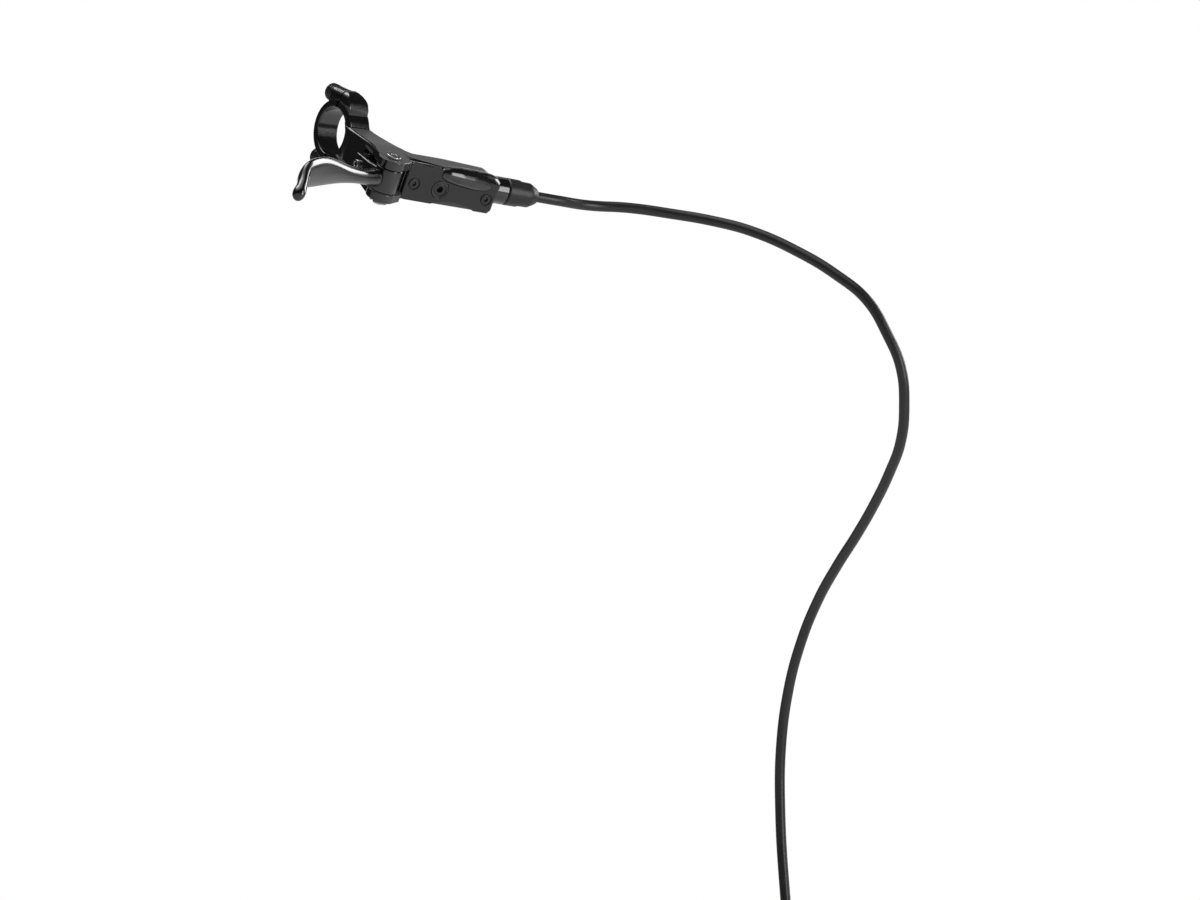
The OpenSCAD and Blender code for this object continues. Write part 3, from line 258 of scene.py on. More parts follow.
brake_hose.data.materials.append(
    finish("hose_jacket", (0.011, 0.011, 0.0117), 0.36, grain=2600.0, patch=60.0, swing=0.08,
           dust=0.03))

# The lever body: forged aluminium, from the front half of the bar clamp down the
# neck to the pivot's two ears and inboard to the cylinder and reservoir. Deep
# gloss black enamel. The top faces are satin, and their lighter grey is a painted
# highlight that stands in for the overhead light falling on them.
GLOSS_ENAMEL = finish("gloss_black_enamel", (0.0035, 0.0035, 0.0038), 0.2, patch=30.0,
                      swing=0.012, tint=0.1, relief=0.000002, dust=0.003, coat=0.8,
                      coat_roughness=0.09)
# satin top: the rougher finish is real, but its grey colour is a painted highlight of the light
# from above
SATIN_PAINTED_HIGHLIGHT_ENAMEL = finish("satin_enamel_painted_top_highlight", (0.085, 0.085, 0.088), 0.42, grain=5200.0,
                      patch=160.0, swing=0.02, tint=0.07, dust=0.006)
WELD_DISTANCE = 2e-6
FLAT_ENOUGH = math.radians(0.4)


def merged(node):
    """A bmesh of one CAD solid, its loose triangles joined and its flat faces made whole."""
    shape = bmesh.new()
    shape.from_mesh(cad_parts[node].data)
    bmesh.ops.remove_doubles(shape, verts=shape.verts, dist=WELD_DISTANCE)
    bmesh.ops.dissolve_limit(shape, angle_limit=FLAT_ENOUGH, verts=shape.verts, edges=shape.edges)
    return shape


NARROW_CORNER = math.radians(45)
OPEN_CORNER = math.radians(120)


def room_beside(edge):
    """How far an edge can be rounded before it meets the next edge of either face."""
    middle = (edge.verts[0].co + edge.verts[1].co) / 2
    along = (edge.verts[1].co - edge.verts[0].co).normalized()
    room = 1.0
    for face in edge.link_faces:
        for other in face.edges:
            if other == edge:
                continue
            start, end = (vertex.co for vertex in other.verts)
            shared = [vertex for vertex in other.verts if vertex in edge.verts]
            if shared:
                reach = other.other_vert(shared[0]).co - shared[0].co
                back = edge.other_vert(shared[0]).co - shared[0].co
                corner = reach.angle(back, 0)
                if corner < NARROW_CORNER:
                    room = min(room, min(reach.length, back.length) * math.tan(corner / 2))
                elif corner < OPEN_CORNER:
                    room = min(room, reach.length * math.sin(corner))
                continue
            nearest, share = intersect_point_line(middle, start, end)
            reach = start.lerp(end, min(max(share, 0), 1)) - middle
            aside = (reach - along * reach.dot(along)).length
            if aside > 0.5 * reach.length:  # else it lies ahead of the edge, not beside it
                room = min(room, aside)
    return room


SWELL_ALLOWED = 1.0005  # rounding makes a piece smaller; a spike makes it larger
AREA_WEIGHT = 1000


def size_of(piece, finished):
    """The surface and reach of a piece, before or after its modifiers, in one figure."""
    bpy.context.view_layer.update()
    mesh = piece.data
    if finished:
        mesh = piece.evaluated_get(bpy.context.evaluated_depsgraph_get()).data
    reach = sum(max(v.co[axis] for v in mesh.vertices) - min(v.co[axis] for v in mesh.vertices)
                for axis in range(3))
    return reach + AREA_WEIGHT * sum(face.area for face in mesh.polygons)


def show(shape, name, body, stands_for, paints, edge=0.0003, segments=2, limit=28):
    """Makes a finished piece of a bmesh.

    Edges sharper than the limit in degrees are broken by a width, or stay sharp without room.
    """
    widths = shape.edges.layers.float.new("bevel_weight_edge")
    for line in shape.edges:
        if len(line.link_faces) != 2 or line.calc_face_angle() < math.radians(limit):
            continue
        line.smooth = edge > 0 and room_beside(line) > 2 * edge
        line[widths] = float(line.smooth)
    mesh = bpy.data.meshes.new(name)
    shape.to_mesh(mesh)
    shape.free()
    for paint in paints:
        mesh.materials.append(paint)
    mesh.shade_smooth()
    piece = bpy.data.objects.new(name, mesh)
    link(piece)
    if edge:
        broken = piece.modifiers.new("broken_edges", "BEVEL")
        broken.width = edge
        broken.segments = segments
        broken.limit_method = "WEIGHT"
        broken.use_clamp_overlap = False
        broken.miter_outer = "MITER_ARC"
        broken.face_strength_mode = "FSTR_AFFECTED"
        if size_of(piece, True) > size_of(piece, False) * SWELL_ALLOWED:
            broken.use_clamp_overlap = True
    levelled = piece.modifiers.new("levelled_faces", "WEIGHTED_NORMAL")
    levelled.mode = "FACE_AREA"
    levelled.keep_sharp = True
    levelled.use_face_influence = True
    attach(piece, body)
    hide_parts(*stands_for)
    return piece


SQUARE_ENOUGH = math.radians(60)


def soften(shape, corner, far_corner, width, clamp=False):
    """Rounds the outward edges inside a box, given in millimetres square to the lever's plane."""
    flat = LEVER_PLANE.inverted()

    def inside(vertex):
        place = flat @ vertex.co * 1000
        return all(low <= value <= high for low, value, high in zip(corner, place, far_corner))

    chosen = [e for e in shape.edges if e.is_convex and len(e.link_faces) == 2
              and e.calc_face_angle() > SQUARE_ENOUGH and all(map(inside, e.verts))]
    bmesh.ops.bevel(shape, geom=chosen, offset=width, segments=4, profile=0.5, affect="EDGES",
                    material=-1, clamp_overlap=clamp)


# the neck's outboard edge, the clamp lug's upright edge and the neck's inboard edge
lever_casting = merged("lever_body")
soften(lever_casting, (5, 8.3, 7), (11, 46.2, 10.2), 0.0013)
soften(lever_casting, (-6, 5.5, 9), (-4, 13, 20), 0.001, clamp=True)
soften(lever_casting, (-19.1, 14.9, 7), (-5, 44.1, 10.2), 0.0009)
lever_up = LEVER_PLANE.to_3x3() @ Vector((0, 0, 1))
TOP_FACE_TILT = math.radians(11)
# faces that look up take the satin enamel, whose lighter grey is a painted highlight
for face in lever_casting.faces:
    face.material_index = int(face.normal.dot(lever_up) > math.cos(TOP_FACE_TILT))
show(lever_casting, "lever_casting", "assembly", ("lever_body",),
     (GLOSS_ENAMEL, SATIN_PAINTED_HIGHLIGHT_ENAMEL), edge=0.0005, segments=3)

# The clamp's rear half and its two socket bolts hold the body on the bar. Every
# socket screw is turned anew in its solid's place, with chamfers and a real
# socket, so the helpers for turned, joined and cut pieces stand here.
show(merged("clamp_band"), "clamp_rear_band", "assembly", ("clamp_band",),
     (GLOSS_ENAMEL,), edge=0.0005, segments=3)
BLACK_OXIDE = finish("black_oxide", (0.05, 0.05, 0.053), 0.26, metallic=0.9, grain=3000.0,
                     patch=200.0, swing=0.1, relief=0.000006, dust=0.03)


def turned(profile_mm, place):
    """A solid turned about the place's Z, from points of radius and height in millimetres."""
    shape = bmesh.new()
    line = [shape.verts.new((radius / 1000, 0, height / 1000)) for radius, height in profile_mm]
    sides = [shape.edges.new(pair) for pair in zip(line, line[1:])]
    bmesh.ops.spin(shape, geom=line + sides, cent=(0, 0, 0), axis=(0, 0, 1),
                   angle=math.radians(360), steps=64, use_merge=True)
    bmesh.ops.remove_doubles(shape, verts=shape.verts, dist=1e-7)
    bmesh.ops.recalc_face_normals(shape, faces=shape.faces)
    bmesh.ops.transform(shape, matrix=place, verts=shape.verts)
    return shape


def blank_of(shape, name):
    """An object of a bmesh, to be cut, joined or rounded."""
    mesh = bpy.data.meshes.new(name)
    shape.to_mesh(mesh)
    shape.free()
    blank = bpy.data.objects.new(name, mesh)
    link(blank)
    return blank


def settled(piece):
    """Applies a piece's modifiers to its mesh."""
    bpy.context.view_layer.update()
    finished = piece.evaluated_get(bpy.context.evaluated_depsgraph_get())
    mesh = bpy.data.meshes.new_from_object(finished)
    piece.modifiers.clear()
    piece.data = mesh


def worked(blank, tool_shape, operation):
    """Joins a second shape to a blank, or cuts it away."""
    tool = blank_of(tool_shape, "tool")
    step = blank.modifiers.new("step", "BOOLEAN")
    step.operation = operation
    step.solver = "EXACT"
    step.object = tool
    settled(blank)
    bpy.data.objects.remove(tool)


def round_bar(radius, length, place, segments=96):
    """A cylinder along the place's Z."""
    shape = bmesh.new()
    bmesh.ops.create_cone(shape, cap_ends=True, segments=segments, radius1=radius, radius2=radius,
                          depth=length, matrix=place)
    return shape


def dressed(blank, body, stands_for, paint, sharp):
    """Finishes a worked blank: one paint, smooth faces and edges kept sharp past an angle."""
    blank.data.materials.clear()
    blank.data.materials.append(paint)
    blank.data.shade_smooth()
    blank.data.set_sharp_from_angle(angle=math.radians(sharp))
    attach(blank, body)
    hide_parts(stands_for)


def solids_of(node, place):
    """The corners of the box of each solid of a CAD node, in millimetres along a place's axes."""
    shape = bmesh.new()
    shape.from_mesh(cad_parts[node].data)
    bmesh.ops.remove_doubles(shape, verts=shape.verts, dist=WELD_DISTANCE)
    left = set(range(len(shape.verts)))
    shape.verts.ensure_lookup_table()
    boxes = []
    while left:
        found, edge_of_search = set(), [min(left)]
        while edge_of_search:
            index = edge_of_search.pop()
            if index in found:
                continue
            found.add(index)
            edge_of_search += [line.other_vert(shape.verts[index]).index
                               for line in shape.verts[index].link_edges]
        left -= found
        points = [place.inverted() @ shape.verts[index].co * 1000 for index in sorted(found)]
        boxes.append([(min(p[axis] for p in points), max(p[axis] for p in points))
                      for axis in range(3)])
    shape.free()
    return boxes


def screw_profile(shank, head, end, top, head_length, thread, grooves):
    """Half the outline of a screw from its end to its top face, in millimetres."""
    point, foot_chamfer, crest, root, groove_depth = 0.4, 0.2, 0.5, 0.1, 0.45
    seat = top - head_length
    profile = [(0, end), (shank - point, end)]
    for turn in range(thread):
        profile += [(shank + crest, end + 0.5 + turn), (shank + root, end + 1 + turn)]
    profile += [(shank, end + thread + point), (shank, seat), (head - foot_chamfer, seat),
                (head, seat + foot_chamfer)]
    for groove in range(grooves):
        start = seat + 1.0 + groove * 1.5
        profile += [(head, start), (head - groove_depth, start + 0.3),
                    (head - groove_depth, start + 0.7), (head, start + 1)]
    return profile + [(head, top - 0.3), (head - 0.12, top - 0.09), (head - 0.35, top), (0, top)]


def socket_screws(node, name, place, shank, head_length, socket, depth, thread=0, grooves=0):
    """Screws turned anew in the places of a node's solids, their heads along the place's Z.

    Shank radius and head length are in millimetres. The socket's radius and depth are in metres.
    """
    screws, brims, hexagons = bmesh.new(), bmesh.new(), bmesh.new()
    for (left, right), (front, back), (end, top) in solids_of(node, place):
        profile = screw_profile(shank, (right - left) / 2, end, top, head_length, thread, grooves)
        line = place @ Matrix.Translation(((left + right) / 2000, (front + back) / 2000, 0))
        mouth = line @ Matrix.Translation((0, 0, top / 1000))
        brim = bmesh.new()
        bmesh.ops.create_cone(brim, cap_ends=True, segments=48, radius1=socket * 0.86,
                              radius2=socket * 1.06, depth=socket * 0.2, matrix=mouth)
        for whole, part in ((screws, turned(profile, line)), (brims, brim),
                            (hexagons, round_bar(socket, depth * 2, mouth, segments=6))):
            part_mesh = bpy.data.meshes.new("part")
            part.to_mesh(part_mesh)
            part.free()
            whole.from_mesh(part_mesh)
    blank = blank_of(screws, name)
    worked(blank, hexagons, "DIFFERENCE")
    worked(blank, brims, "DIFFERENCE")
    dressed(blank, "assembly", node, BLACK_OXIDE, sharp=30)


HEAD_BACK = Matrix.Rotation(math.radians(90), 4, "X")
HEAD_FRONT = Matrix.Rotation(math.radians(-90), 4, "X")
HEAD_INBOARD = Matrix.Rotation(math.radians(-90), 4, "Y")
CLAMP_TILT = math.radians(10)
CLAMP_LINE = LEVER_PLANE @ Matrix.Rotation(CLAMP_TILT, 4, "X") @ HEAD_BACK
socket_screws("clamp_bolts", "clamp_socket_bolts", CLAMP_LINE, shank=2.5, head_length=4.8,
              socket=0.0023, depth=0.003, grooves=2)

# Reservoir cover: a satin black anodised plate over a rubber diaphragm, held by
# two screws, with the bleed screw between them.
SATIN_COVER = finish("satin_black_anodised", (0.012, 0.012, 0.0128), 0.34, grain=7000.0,
                     patch=60.0, tint=0.2, relief=0.000005, dust=0.01)
show(merged("reservoir_cover"), "reservoir_plate", "assembly",
     ("reservoir_cover",), (SATIN_COVER,), edge=0.0004, segments=3)
MOULDED_RUBBER = finish("moulded_rubber", (0.022, 0.022, 0.023), 0.55, grain=1800.0,
                        patch=90.0, swing=0.1, tint=0.3, relief=0.00002, dust=0.1)
show(merged("diaphragm"), "reservoir_diaphragm", "assembly", ("diaphragm",),
     (MOULDED_RUBBER,), edge=0)
socket_screws("cover_screws", "reservoir_screws", CYLINDER @ HEAD_FRONT, shank=1.25,
              head_length=1.2, socket=0.0012, depth=0.0008)
socket_screws("bleed_screw", "bleed_port_screw", CYLINDER @ HEAD_FRONT, shank=1.9,
              head_length=1.3, socket=0.0017, depth=0.002)

# The lever blade: one forging in the same gloss enamel, with a hub between the
# body's ears, a heel that carries the reach screw, and a two-finger blade that
# bows forward and turns up into a small round bead at its end.
PIVOT = (0.0055, 0.0515)
HALF_SWING = math.radians(10)
HEEL_ARM = 0.0134918
HUB_RADIUS = 0.0065
HUB_HEIGHT = 0.0114
HEEL_HEIGHT = 0.0088
HEEL_ROUNDING = 0.0006
HUB_ROUNDING = 0.0004
REACH_BOSS_RADIUS = 0.0042
REACH_BOSS_LENGTH = 0.006
REACH_BOSS_MIDDLE = 0.0044
PIVOT_BORE_RADIUS = 0.0033
REACH_BORE_RADIUS = 0.00205
THROUGH_ALL = 0.05
HEEL_OUTLINE_MM = ((1.4, -17.09), (7.4, -17.09), (7.6, -6), (6, 0), (-5, 0), (-3.4, -6),
                   (1.4, -9.09))
# each station of the blade: x, y and z of its middle, half its thickness, half its height, in mm
BLADE_STATIONS = (
    (9.6, 52.3, -0.2, 3.9, 4.8), (14.8, 53.4, 0, 4.2, 4.0), (22, 55.2, 0.8, 4.1, 3.4),
    (31, 58, 2.2, 3.8, 4.0), (39, 61, 3.7, 3.4, 5.2), (47, 64.5, 5.1, 3.1, 6.6),
    (55, 68.4, 6.1, 2.9, 7.5), (62.5, 72.8, 6.6, 2.8, 7.3), (67.4, 75.8, 6.8, 2.8, 6.9),
    (70, 77.8, 6.3, 2.6, 5.9), (71.1, 80.3, 4.6, 2.4, 4.6), (72.8, 83.2, 2.8, 2.6, 3.7),
    (75, 85.8, 1.6, 3.1, 3.5))
# the bead's rounded end: how far past the last station, and the share of its size
TIP_STATIONS = ((1.6, 0.93), (2.7, 0.7), (3.4, 0.38))
RING_SWELL = 1.025  # makes up for what the smoothing takes off
LEVER_FRAME = (LEVER_PLANE @ Matrix.Translation((*PIVOT, 0))
               @ Matrix.Rotation(HALF_SWING - CYLINDER_TURN, 4, "Z"))
blade = bmesh.new()
tip = Vector(BLADE_STATIONS[-1][:3])
tip_run = (tip - Vector(BLADE_STATIONS[-2][:3])).normalized()
stations = list(BLADE_STATIONS) + [
    (*(tip + tip_run * ahead), BLADE_STATIONS[-1][3] * shrink, BLADE_STATIONS[-1][4] * shrink)
    for ahead, shrink in TIP_STATIONS]
rings = []
for number, (x, y, z, half_thick, half_high) in enumerate(stations):
    before, after = stations[max(number - 1, 0)], stations[min(number + 1, len(stations) - 1)]
    run = Vector((after[0] - before[0], after[1] - before[1], 0)).normalized()
    ring_place = Matrix((Vector((-run.y, run.x, 0)), Vector((0, 0, 1)), run)).transposed().to_4x4()
    ring_place.translation = (x, y, z)
    ring = bmesh.ops.create_circle(blade, segments=16, radius=RING_SWELL, matrix=(
        ring_place @ Matrix.Diagonal((half_thick, half_high, 1, 1))))["verts"]
    rings.append([blade.edges.get((v, w)) for v, w in zip(ring, ring[1:] + ring[:1])])
for near, far in zip(rings, rings[1:]):
    bmesh.ops.bridge_loops(blade, edges=near + far)
for end in (rings[0], rings[-1]):
    bmesh.ops.contextual_create(blade, geom=end)
bmesh.ops.scale(blade, vec=(0.001, 0.001, 0.001), verts=blade.verts)
bmesh.ops.transform(blade, matrix=LEVER_PLANE, verts=blade.verts)
bmesh.ops.recalc_face_normals(blade, faces=blade.faces)

blade_blank = blank_of(blade, "lever_forging")
rounded = blade_blank.modifiers.new("rounded", "SUBSURF")
rounded.levels = rounded.render_levels = 3
settled(blade_blank)
heel = bmesh.new()
heel_floor = [heel.verts.new((x / 1000, y / 1000, -HEEL_HEIGHT / 2)) for x, y in HEEL_OUTLINE_MM]
raised = bmesh.ops.extrude_face_region(heel, geom=[heel.faces.new(heel_floor)])["geom"]
bmesh.ops.translate(heel, vec=(0, 0, HEEL_HEIGHT),
                    verts=[v for v in raised if isinstance(v, bmesh.types.BMVert)])
bmesh.ops.recalc_face_normals(heel, faces=heel.faces)
bmesh.ops.bevel(heel, geom=heel.edges[:], offset=HEEL_ROUNDING, segments=3, profile=0.5,
                affect="EDGES", material=-1)
bmesh.ops.transform(heel, matrix=LEVER_FRAME, verts=heel.verts)
worked(blade_blank, heel, "UNION")
hub = round_bar(HUB_RADIUS, HUB_HEIGHT, Matrix.Identity(4))
rims = [e for e in hub.edges if abs(e.verts[0].co.z - e.verts[1].co.z) < 1e-6]
bmesh.ops.bevel(hub, geom=rims, offset=HUB_ROUNDING, segments=3, profile=0.5, affect="EDGES",
                material=-1)
bmesh.ops.transform(hub, matrix=LEVER_FRAME, verts=hub.verts)
worked(blade_blank, hub, "UNION")
REACH_LINE = (LEVER_FRAME @ Matrix.Translation((0, -HEEL_ARM, 0))
              @ Matrix.Rotation(math.radians(90), 4, "Y"))
reach_boss = round_bar(REACH_BOSS_RADIUS, REACH_BOSS_LENGTH,
                       REACH_LINE @ Matrix.Translation((0, 0, REACH_BOSS_MIDDLE)))
worked(blade_blank, reach_boss, "UNION")
worked(blade_blank, round_bar(PIVOT_BORE_RADIUS, THROUGH_ALL, LEVER_FRAME), "DIFFERENCE")
reach_bore = round_bar(REACH_BORE_RADIUS, THROUGH_ALL, REACH_LINE, segments=48)
worked(blade_blank, reach_bore, "DIFFERENCE")
dressed(blade_blank, "lever", "lever_blade", GLOSS_ENAMEL, sharp=32)

# The pivot: a steel pin with a low head, two flanged brass bushes in the hub and
# a spring clip under the body. The reach screw's ball bears on the push rod.
BRIGHT_STEEL = finish("bright_steel", (0.55, 0.55, 0.565), 0.24, metallic=1.0, grain=2400.0,
                      patch=150.0, swing=0.1, tint=0.12, relief=0.000005, dust=0.02)
SPRING_STEEL = finish("spring_steel", (0.5, 0.5, 0.52), 0.3, metallic=1.0, grain=3000.0,
                      patch=200.0, swing=0.12, tint=0.2, relief=0.000006, dust=0.03)
TURNED_BRASS = finish("turned_brass", (0.6, 0.42, 0.16), 0.26, metallic=1.0, grain=2600.0,
                      patch=120.0, swing=0.1, tint=0.25, relief=0.000005)
show(merged("pivot_pin"), "pivot_pin_turned", "assembly", ("pivot_pin",),
     (BRIGHT_STEEL,), edge=0.0003, segments=3)
show(merged("pivot_bushes"), "pivot_bush_pair", "lever", ("pivot_bushes",),
     (TURNED_BRASS,), edge=0.0001)
show(merged("pivot_clip"), "pivot_spring_clip", "assembly", ("pivot_clip",),
     (SPRING_STEEL,), edge=0.0001)
show(merged("reach_screw"), "reach_ball_screw", "reach_adjuster", ("reach_screw",),
     (BRIGHT_STEEL,), edge=0.0002)

# Inside the cylinder: push rod, piston with its two lip seals, return spring and
# the circlip that keeps them in.
TURNED_ALUMINIUM = finish("turned_aluminium", (0.66, 0.66, 0.68), 0.28, metallic=1.0, grain=2000.0,
                          patch=100.0, swing=0.1, tint=0.12, relief=0.000006)
show(merged("push_rod"), "push_rod_turned", "piston", ("push_rod",), (BRIGHT_STEEL,),
     edge=0.0002)
show(merged("master_piston"), "master_piston_turned", "piston",
     ("master_piston",), (TURNED_ALUMINIUM,), edge=0.0002)
for node in ("primary_seal", "secondary_seal"):
    show(merged(node), node + "_lip", "piston", (node,), (MOULDED_RUBBER,),
         edge=0.0001)
return_spring = show(merged("return_spring"), "return_spring_coil", "assembly",
                     ("return_spring",), (SPRING_STEEL,), edge=0, limit=60)
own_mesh(return_spring)
show(merged("piston_circlip"), "piston_snap_ring", "assembly", ("piston_circlip",),
     (SPRING_STEEL,), edge=0.0001)

# The hose joins the lever and the caliper in the same way: a barbed brass insert,
# a brass olive, a black compression nut, and a rubber boot over the nut.
BOOT_RUBBER = finish("boot_rubber", (0.01, 0.01, 0.0106), 0.4, grain=1500.0, patch=70.0, swing=0.08,
                     tint=0.25, relief=0.000015, dust=0.025)
for end in ("lever", "caliper"):
    show(merged(end + "_hose_nut"), end + "_hose_nut_hex", "assembly",
         (end + "_hose_nut",), (BLACK_OXIDE,), edge=0.0002)
    show(merged(end + "_olive"), end + "_olive_ring", "assembly", (end + "_olive",),
         (TURNED_BRASS,), edge=0.0001)
    show(merged(end + "_hose_insert"), end + "_hose_barb", "assembly",
         (end + "_hose_insert",), (TURNED_BRASS,), edge=0.0001)
    show(merged(end + "_hose_boot"), end + "_hose_boot_cover", "assembly",
         (end + "_hose_boot",), (BOOT_RUBBER,), edge=0.0003, segments=3)

# The caliper: two forged halves in gloss enamel, bolted together over the rotor,
# with an O-ring where the fluid crosses between them.
for half in ("outer", "inner"):
    show(merged(f"caliper_{half}_half"), f"caliper_{half}_forging", "assembly",
         (f"caliper_{half}_half",), (GLOSS_ENAMEL,), edge=0.0007, segments=3)
socket_screws("caliper_body_bolts", "caliper_joining_bolts", HEAD_INBOARD, shank=2.5,
              head_length=4.5, socket=0.0023, depth=0.0025)
show(merged("transfer_o_ring"), "transfer_ring", "assembly", ("transfer_o_ring",),
     (MOULDED_RUBBER,), edge=0, limit=60)

# The caliper's two pistons of dark moulded resin, in square-cut seals.
MOULDED_RESIN = finish("moulded_resin", (0.045, 0.036, 0.028), 0.35, grain=2200.0, patch=160.0,
                       swing=0.1, tint=0.4)
for side in ("outer", "inner"):
    show(merged(f"{side}_piston"), f"{side}_piston_cup", f"{side}_pad",
         (f"{side}_piston",), (MOULDED_RESIN,), edge=0.0003, segments=3)
show(merged("piston_seals"), "piston_square_rings", "assembly",
     ("piston_seals",), (MOULDED_RUBBER,), edge=0.0001)

# Brake pads: a steel backing plate and a pressed lining on each side, pushed
# apart by a leaf spring and kept in by one pin with its clip.
PLATE_STEEL = finish("plate_steel", (0.2, 0.17, 0.14), 0.45, metallic=0.8, grain=1600.0,
                     patch=120.0, swing=0.15, tint=0.4, dust=0.1)


def lining_height(tree):
    """Grit in the lining, as a height for its bump."""
    grit = add(tree, "ShaderNodeTexVoronoi", feature="F1")
    grit.inputs["Scale"].default_value = 1400.0
    tree.links.new(add(tree, "ShaderNodeTexCoord").outputs["Object"], grit.inputs["Vector"])
    return grit.outputs["Distance"]


PRESSED_LINING = finish("pressed_lining", (0.055, 0.046, 0.04), 0.8, grain=1500.0,
                        patch=500.0, swing=0.2, tint=1.3, relief=0.00008, height=lining_height)
for side in ("outer", "inner"):
    show(merged(f"{side}_pad_plate"), f"{side}_pad_backing", f"{side}_pad",
         (f"{side}_pad_plate",), (PLATE_STEEL,), edge=0.0002)
    show(merged(f"{side}_pad_lining"), f"{side}_pad_friction", f"{side}_pad",
         (f"{side}_pad_lining",), (PRESSED_LINING,), edge=0.0004)
pad_leaf = show(merged("pad_spring"), "pad_leaf_spring", "assembly",
                ("pad_spring",), (SPRING_STEEL,), edge=0.0001)
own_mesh(pad_leaf)
show(merged("pad_pin"), "pad_pin_turned", "assembly", ("pad_pin",), (BRIGHT_STEEL,),
     edge=0.0002)
show(merged("pad_pin_clip"), "pad_pin_snap_clip", "assembly", ("pad_pin_clip",),
     (SPRING_STEEL,), edge=0.0001)

# Bleed nipple at the caliper's back, under its rubber cap.
show(merged("bleed_nipple"), "bleed_nipple_hex", "assembly", ("bleed_nipple",),
     (BRIGHT_STEEL,), edge=0.0002)
show(merged("bleed_cap"), "bleed_nipple_cap", "assembly", ("bleed_cap",),
     (MOULDED_RUBBER,), edge=0.0003, segments=3)

# Two M6 bolts with washers fix the caliper to the fork's posts. Their threads
# stand out of the caliper, so they are turned as rings at the real pitch.
socket_screws("fork_bolts", "fork_socket_bolts", HEAD_BACK, shank=2.5, head_length=6.0,
              socket=0.0029, depth=0.0032, thread=11)
show(merged("fork_washers"), "fork_washer_pair", "assembly", ("fork_washers",),
     (BRIGHT_STEEL,), edge=0.0002)

# The rotor: one plate of stainless steel, laser cut and ground. The pads polish
# fine rings into its band; the arms keep the dull sheen of the rolled sheet.
ROTOR_CENTRE = (-0.24, 0.15, -0.6)
BAND_INNER_RADIUS = 0.065
BAND_BLUR = 0.0004


def rotor_rings(tree):
    """Radius from the wheel's axle, and fine rings that follow it."""
    centred = add(tree, "ShaderNodeVectorMath", operation="SUBTRACT")
    tree.links.new(add(tree, "ShaderNodeTexCoord").outputs["Object"], centred.inputs[0])
    centred.inputs[1].default_value = ROTOR_CENTRE
    flat = add(tree, "ShaderNodeVectorMath", operation="MULTIPLY")
    flat.inputs[1].default_value = (0, 1, 1)
    tree.links.new(centred.outputs[0], flat.inputs[0])
    radius = add(tree, "ShaderNodeVectorMath", operation="LENGTH")
    tree.links.new(flat.outputs[0], radius.inputs[0])
    rings_noise = add(tree, "ShaderNodeTexNoise", noise_dimensions="1D")
    rings_noise.inputs["Scale"].default_value = 5200.0
    rings_noise.inputs["Detail"].default_value = 4.0
    tree.links.new(radius.outputs["Value"], rings_noise.inputs["W"])
    return radius.outputs["Value"], rings_noise.outputs[0]


ROTOR_STEEL = finish("ground_rotor_steel", (0.5, 0.5, 0.515), 0.3, metallic=1.0, grain=2600.0,
                     patch=60.0, swing=0.08, tint=0.1, relief=0.000012, dust=0.03,
                     height=lambda tree: rotor_rings(tree)[1])
rotor_tree = ROTOR_STEEL.node_tree
rotor_shader = rotor_tree.nodes["Principled BSDF"]
from_axle, swept_rings = rotor_rings(rotor_tree)
swept = ramp(rotor_tree, from_axle, BAND_INNER_RADIUS - BAND_BLUR, BAND_INNER_RADIUS + BAND_BLUR)
sheet_colour = rotor_shader.inputs["Base Color"].links[0].from_socket
band_colour = mix_colour(rotor_tree, swept_rings, (0.4, 0.4, 0.41, 1), (0.7, 0.7, 0.72, 1))
rotor_tree.links.new(mix_colour(rotor_tree, swept, sheet_colour, band_colour),
                     rotor_shader.inputs["Base Color"])
show(merged("disc_rotor"), "rotor_plate", "rotor", ("disc_rotor",),
     (ROTOR_STEEL,), edge=0.00015)

# A plain pale room: a white floor and backdrop, a dim room with two bright
# screens for the gloss enamel to mirror, and three soft lamps.
OWN_WHITE_TO_CAMERA = 0.7
OWN_WHITE_TO_GLOSS = 0.2


def pale(name, brightness):
    """Pale paper: most of what the camera sees is its own white, and the rest keeps shadows."""
    material = bpy.data.materials.new(name)
    material.use_nodes = True
    tree = material.node_tree
    paper = tree.nodes["Principled BSDF"]
    paper.inputs["Base Color"].default_value = (0.8, 0.8, 0.8, 1)
    paper.inputs["Roughness"].default_value = 0.9
    paper.inputs["Specular IOR Level"].default_value = 0.1
    ray = add(tree, "ShaderNodeLightPath").outputs
    direct = math_node(tree, "MAXIMUM", ray["Is Camera Ray"], ray["Is Transmission Ray"])
    seen = math_node(tree, "MAXIMUM",
                     math_node(tree, "MULTIPLY", ray["Is Glossy Ray"], OWN_WHITE_TO_GLOSS),
                     math_node(tree, "MULTIPLY", direct, OWN_WHITE_TO_CAMERA))
    white = add(tree, "ShaderNodeEmission")
    white.inputs["Strength"].default_value = brightness
    blend = add(tree, "ShaderNodeMixShader")
    tree.links.new(seen, blend.inputs[0])
    tree.links.new(paper.outputs[0], blend.inputs[1])
    tree.links.new(white.outputs[0], blend.inputs[2])
    tree.links.new(blend.outputs[0], tree.nodes["Material Output"].inputs["Surface"])
    return material


FLOOR_DROP = 0.002
FLOOR_REACH = 12
sheet = bmesh.new()
bmesh.ops.create_grid(sheet, x_segments=1, y_segments=1, size=FLOOR_REACH,
                      matrix=Matrix.Translation((0, 0, cad_box[0][2] - FLOOR_DROP)))
floor = blank_of(sheet, "floor")
floor.data.materials.append(pale("floor_white", 0.97))

world = bpy.data.worlds.new("studio")
bpy.context.scene.world = world
world.use_nodes = True
sky = world.node_tree
background = sky.nodes["Background"]
sky_ray = add(sky, "ShaderNodeLightPath").outputs
direction = add(sky, "ShaderNodeTexCoord").outputs["Generated"]


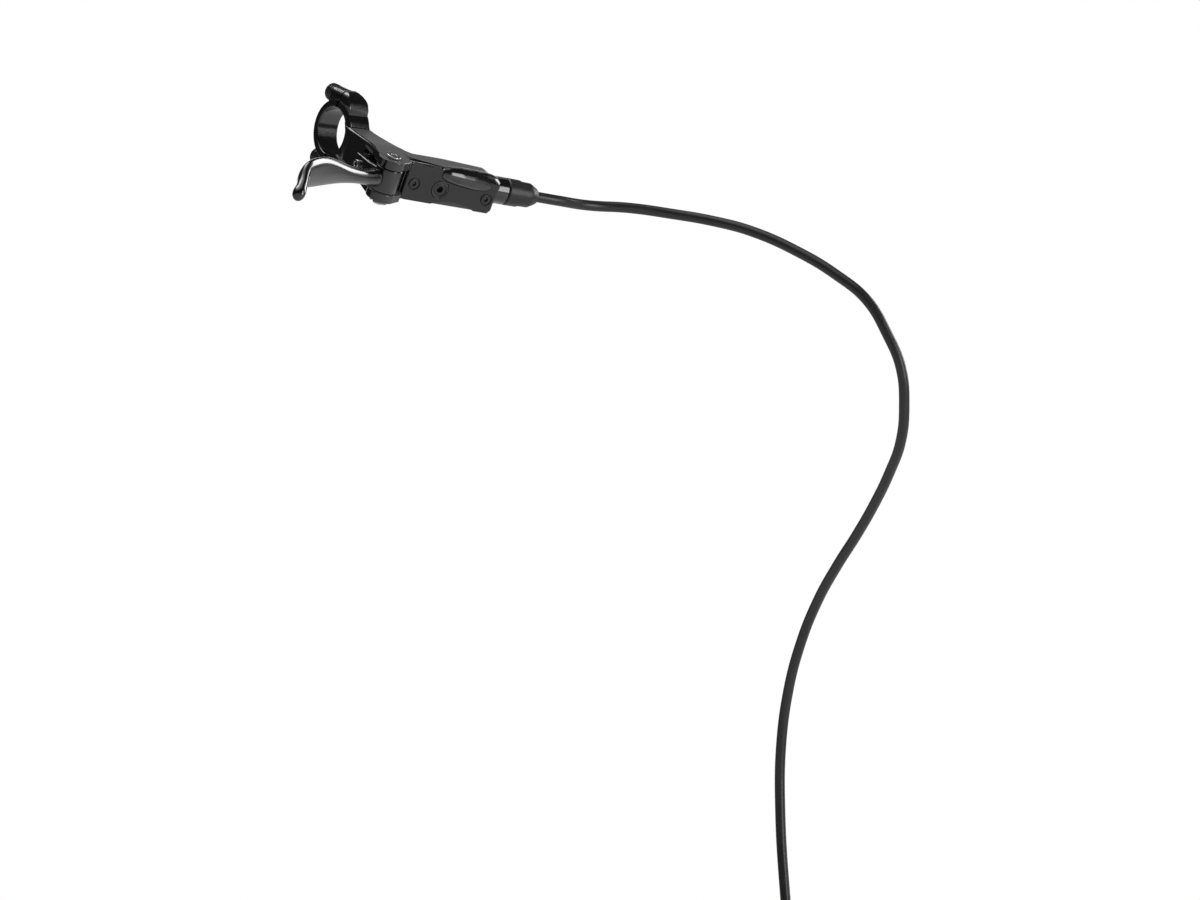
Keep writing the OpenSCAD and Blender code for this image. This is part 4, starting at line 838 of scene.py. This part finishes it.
def glow(towards, edge_degrees, core_degrees, strength):
    """Brightness of a soft round patch of the room, full inside its core."""
    facing = add(sky, "ShaderNodeVectorMath", operation="DOT_PRODUCT")
    sky.links.new(direction, facing.inputs[0])
    facing.inputs[1].default_value = tuple(Vector(towards).normalized())
    return ramp(sky, facing.outputs["Value"], math.cos(math.radians(edge_degrees)),
                math.cos(math.radians(core_degrees)), 0.0, strength)


def either(mask, first, second):
    """The first strength where the mask is 0 and the second where it is 1."""
    node = add(sky, "ShaderNodeMix", data_type="FLOAT")
    sky.links.new(mask, node.inputs[0])
    for socket, value in zip(node.inputs[2:4], (first, second)):
        if isinstance(value, float):
            socket.default_value = value
        else:
            sky.links.new(value, socket)
    return node.outputs[0]


DARK_ROOM = 0.035
DIFFUSE_LIGHT = 0.4
WHITE = 1.0
OVERHEAD_SCREEN = ((0.3, 0, 0.95), 42, 26, 1.3)
SIDE_SCREEN = ((-0.93, 0.1, 0.34), 26, 9, 0.9)
mirrored = glow(view_line, 34, 16, WHITE)
for screen in (glow(*OVERHEAD_SCREEN), glow(*SIDE_SCREEN)):
    mirrored = math_node(sky, "MAXIMUM", mirrored, screen)
mirrored = math_node(sky, "ADD", DARK_ROOM, mirrored)
room_light = either(sky_ray["Is Glossy Ray"], DIFFUSE_LIGHT, mirrored)
direct_ray = math_node(sky, "MAXIMUM", sky_ray["Is Camera Ray"], sky_ray["Is Transmission Ray"])
background.inputs["Color"].default_value = (1, 1, 1, 1)
sky.links.new(either(direct_ray, room_light, WHITE), background.inputs["Strength"])


def soft_lamp(name, power, size, place, aim):
    """A rectangular lamp at a place, turned to face its aim."""
    lamp = bpy.data.objects.new(name, bpy.data.lights.new(name, "AREA"))
    lamp.data.energy = power
    lamp.data.shape = "RECTANGLE"
    lamp.data.size, lamp.data.size_y = size
    lamp.location = place
    lamp.rotation_euler = (Vector(aim) - Vector(place)).to_track_quat("-Z", "Y").to_euler()
    link(lamp)


soft_lamp("overhead_lamp", 15, (1.4, 0.9), (0.55, -0.45, 1.6), (-0.05, 0.05, -0.1))
soft_lamp("side_lamp", 9, (0.5, 1.0), (-1.7, 0.2, 0.55), (0, 0.05, -0.1))
soft_lamp("front_lamp", 8, (0.5, 0.9), (-0.57, 1.37, 0.02), (0, 0.05, 0))

bpy.context.scene.view_settings.view_transform = "Standard"
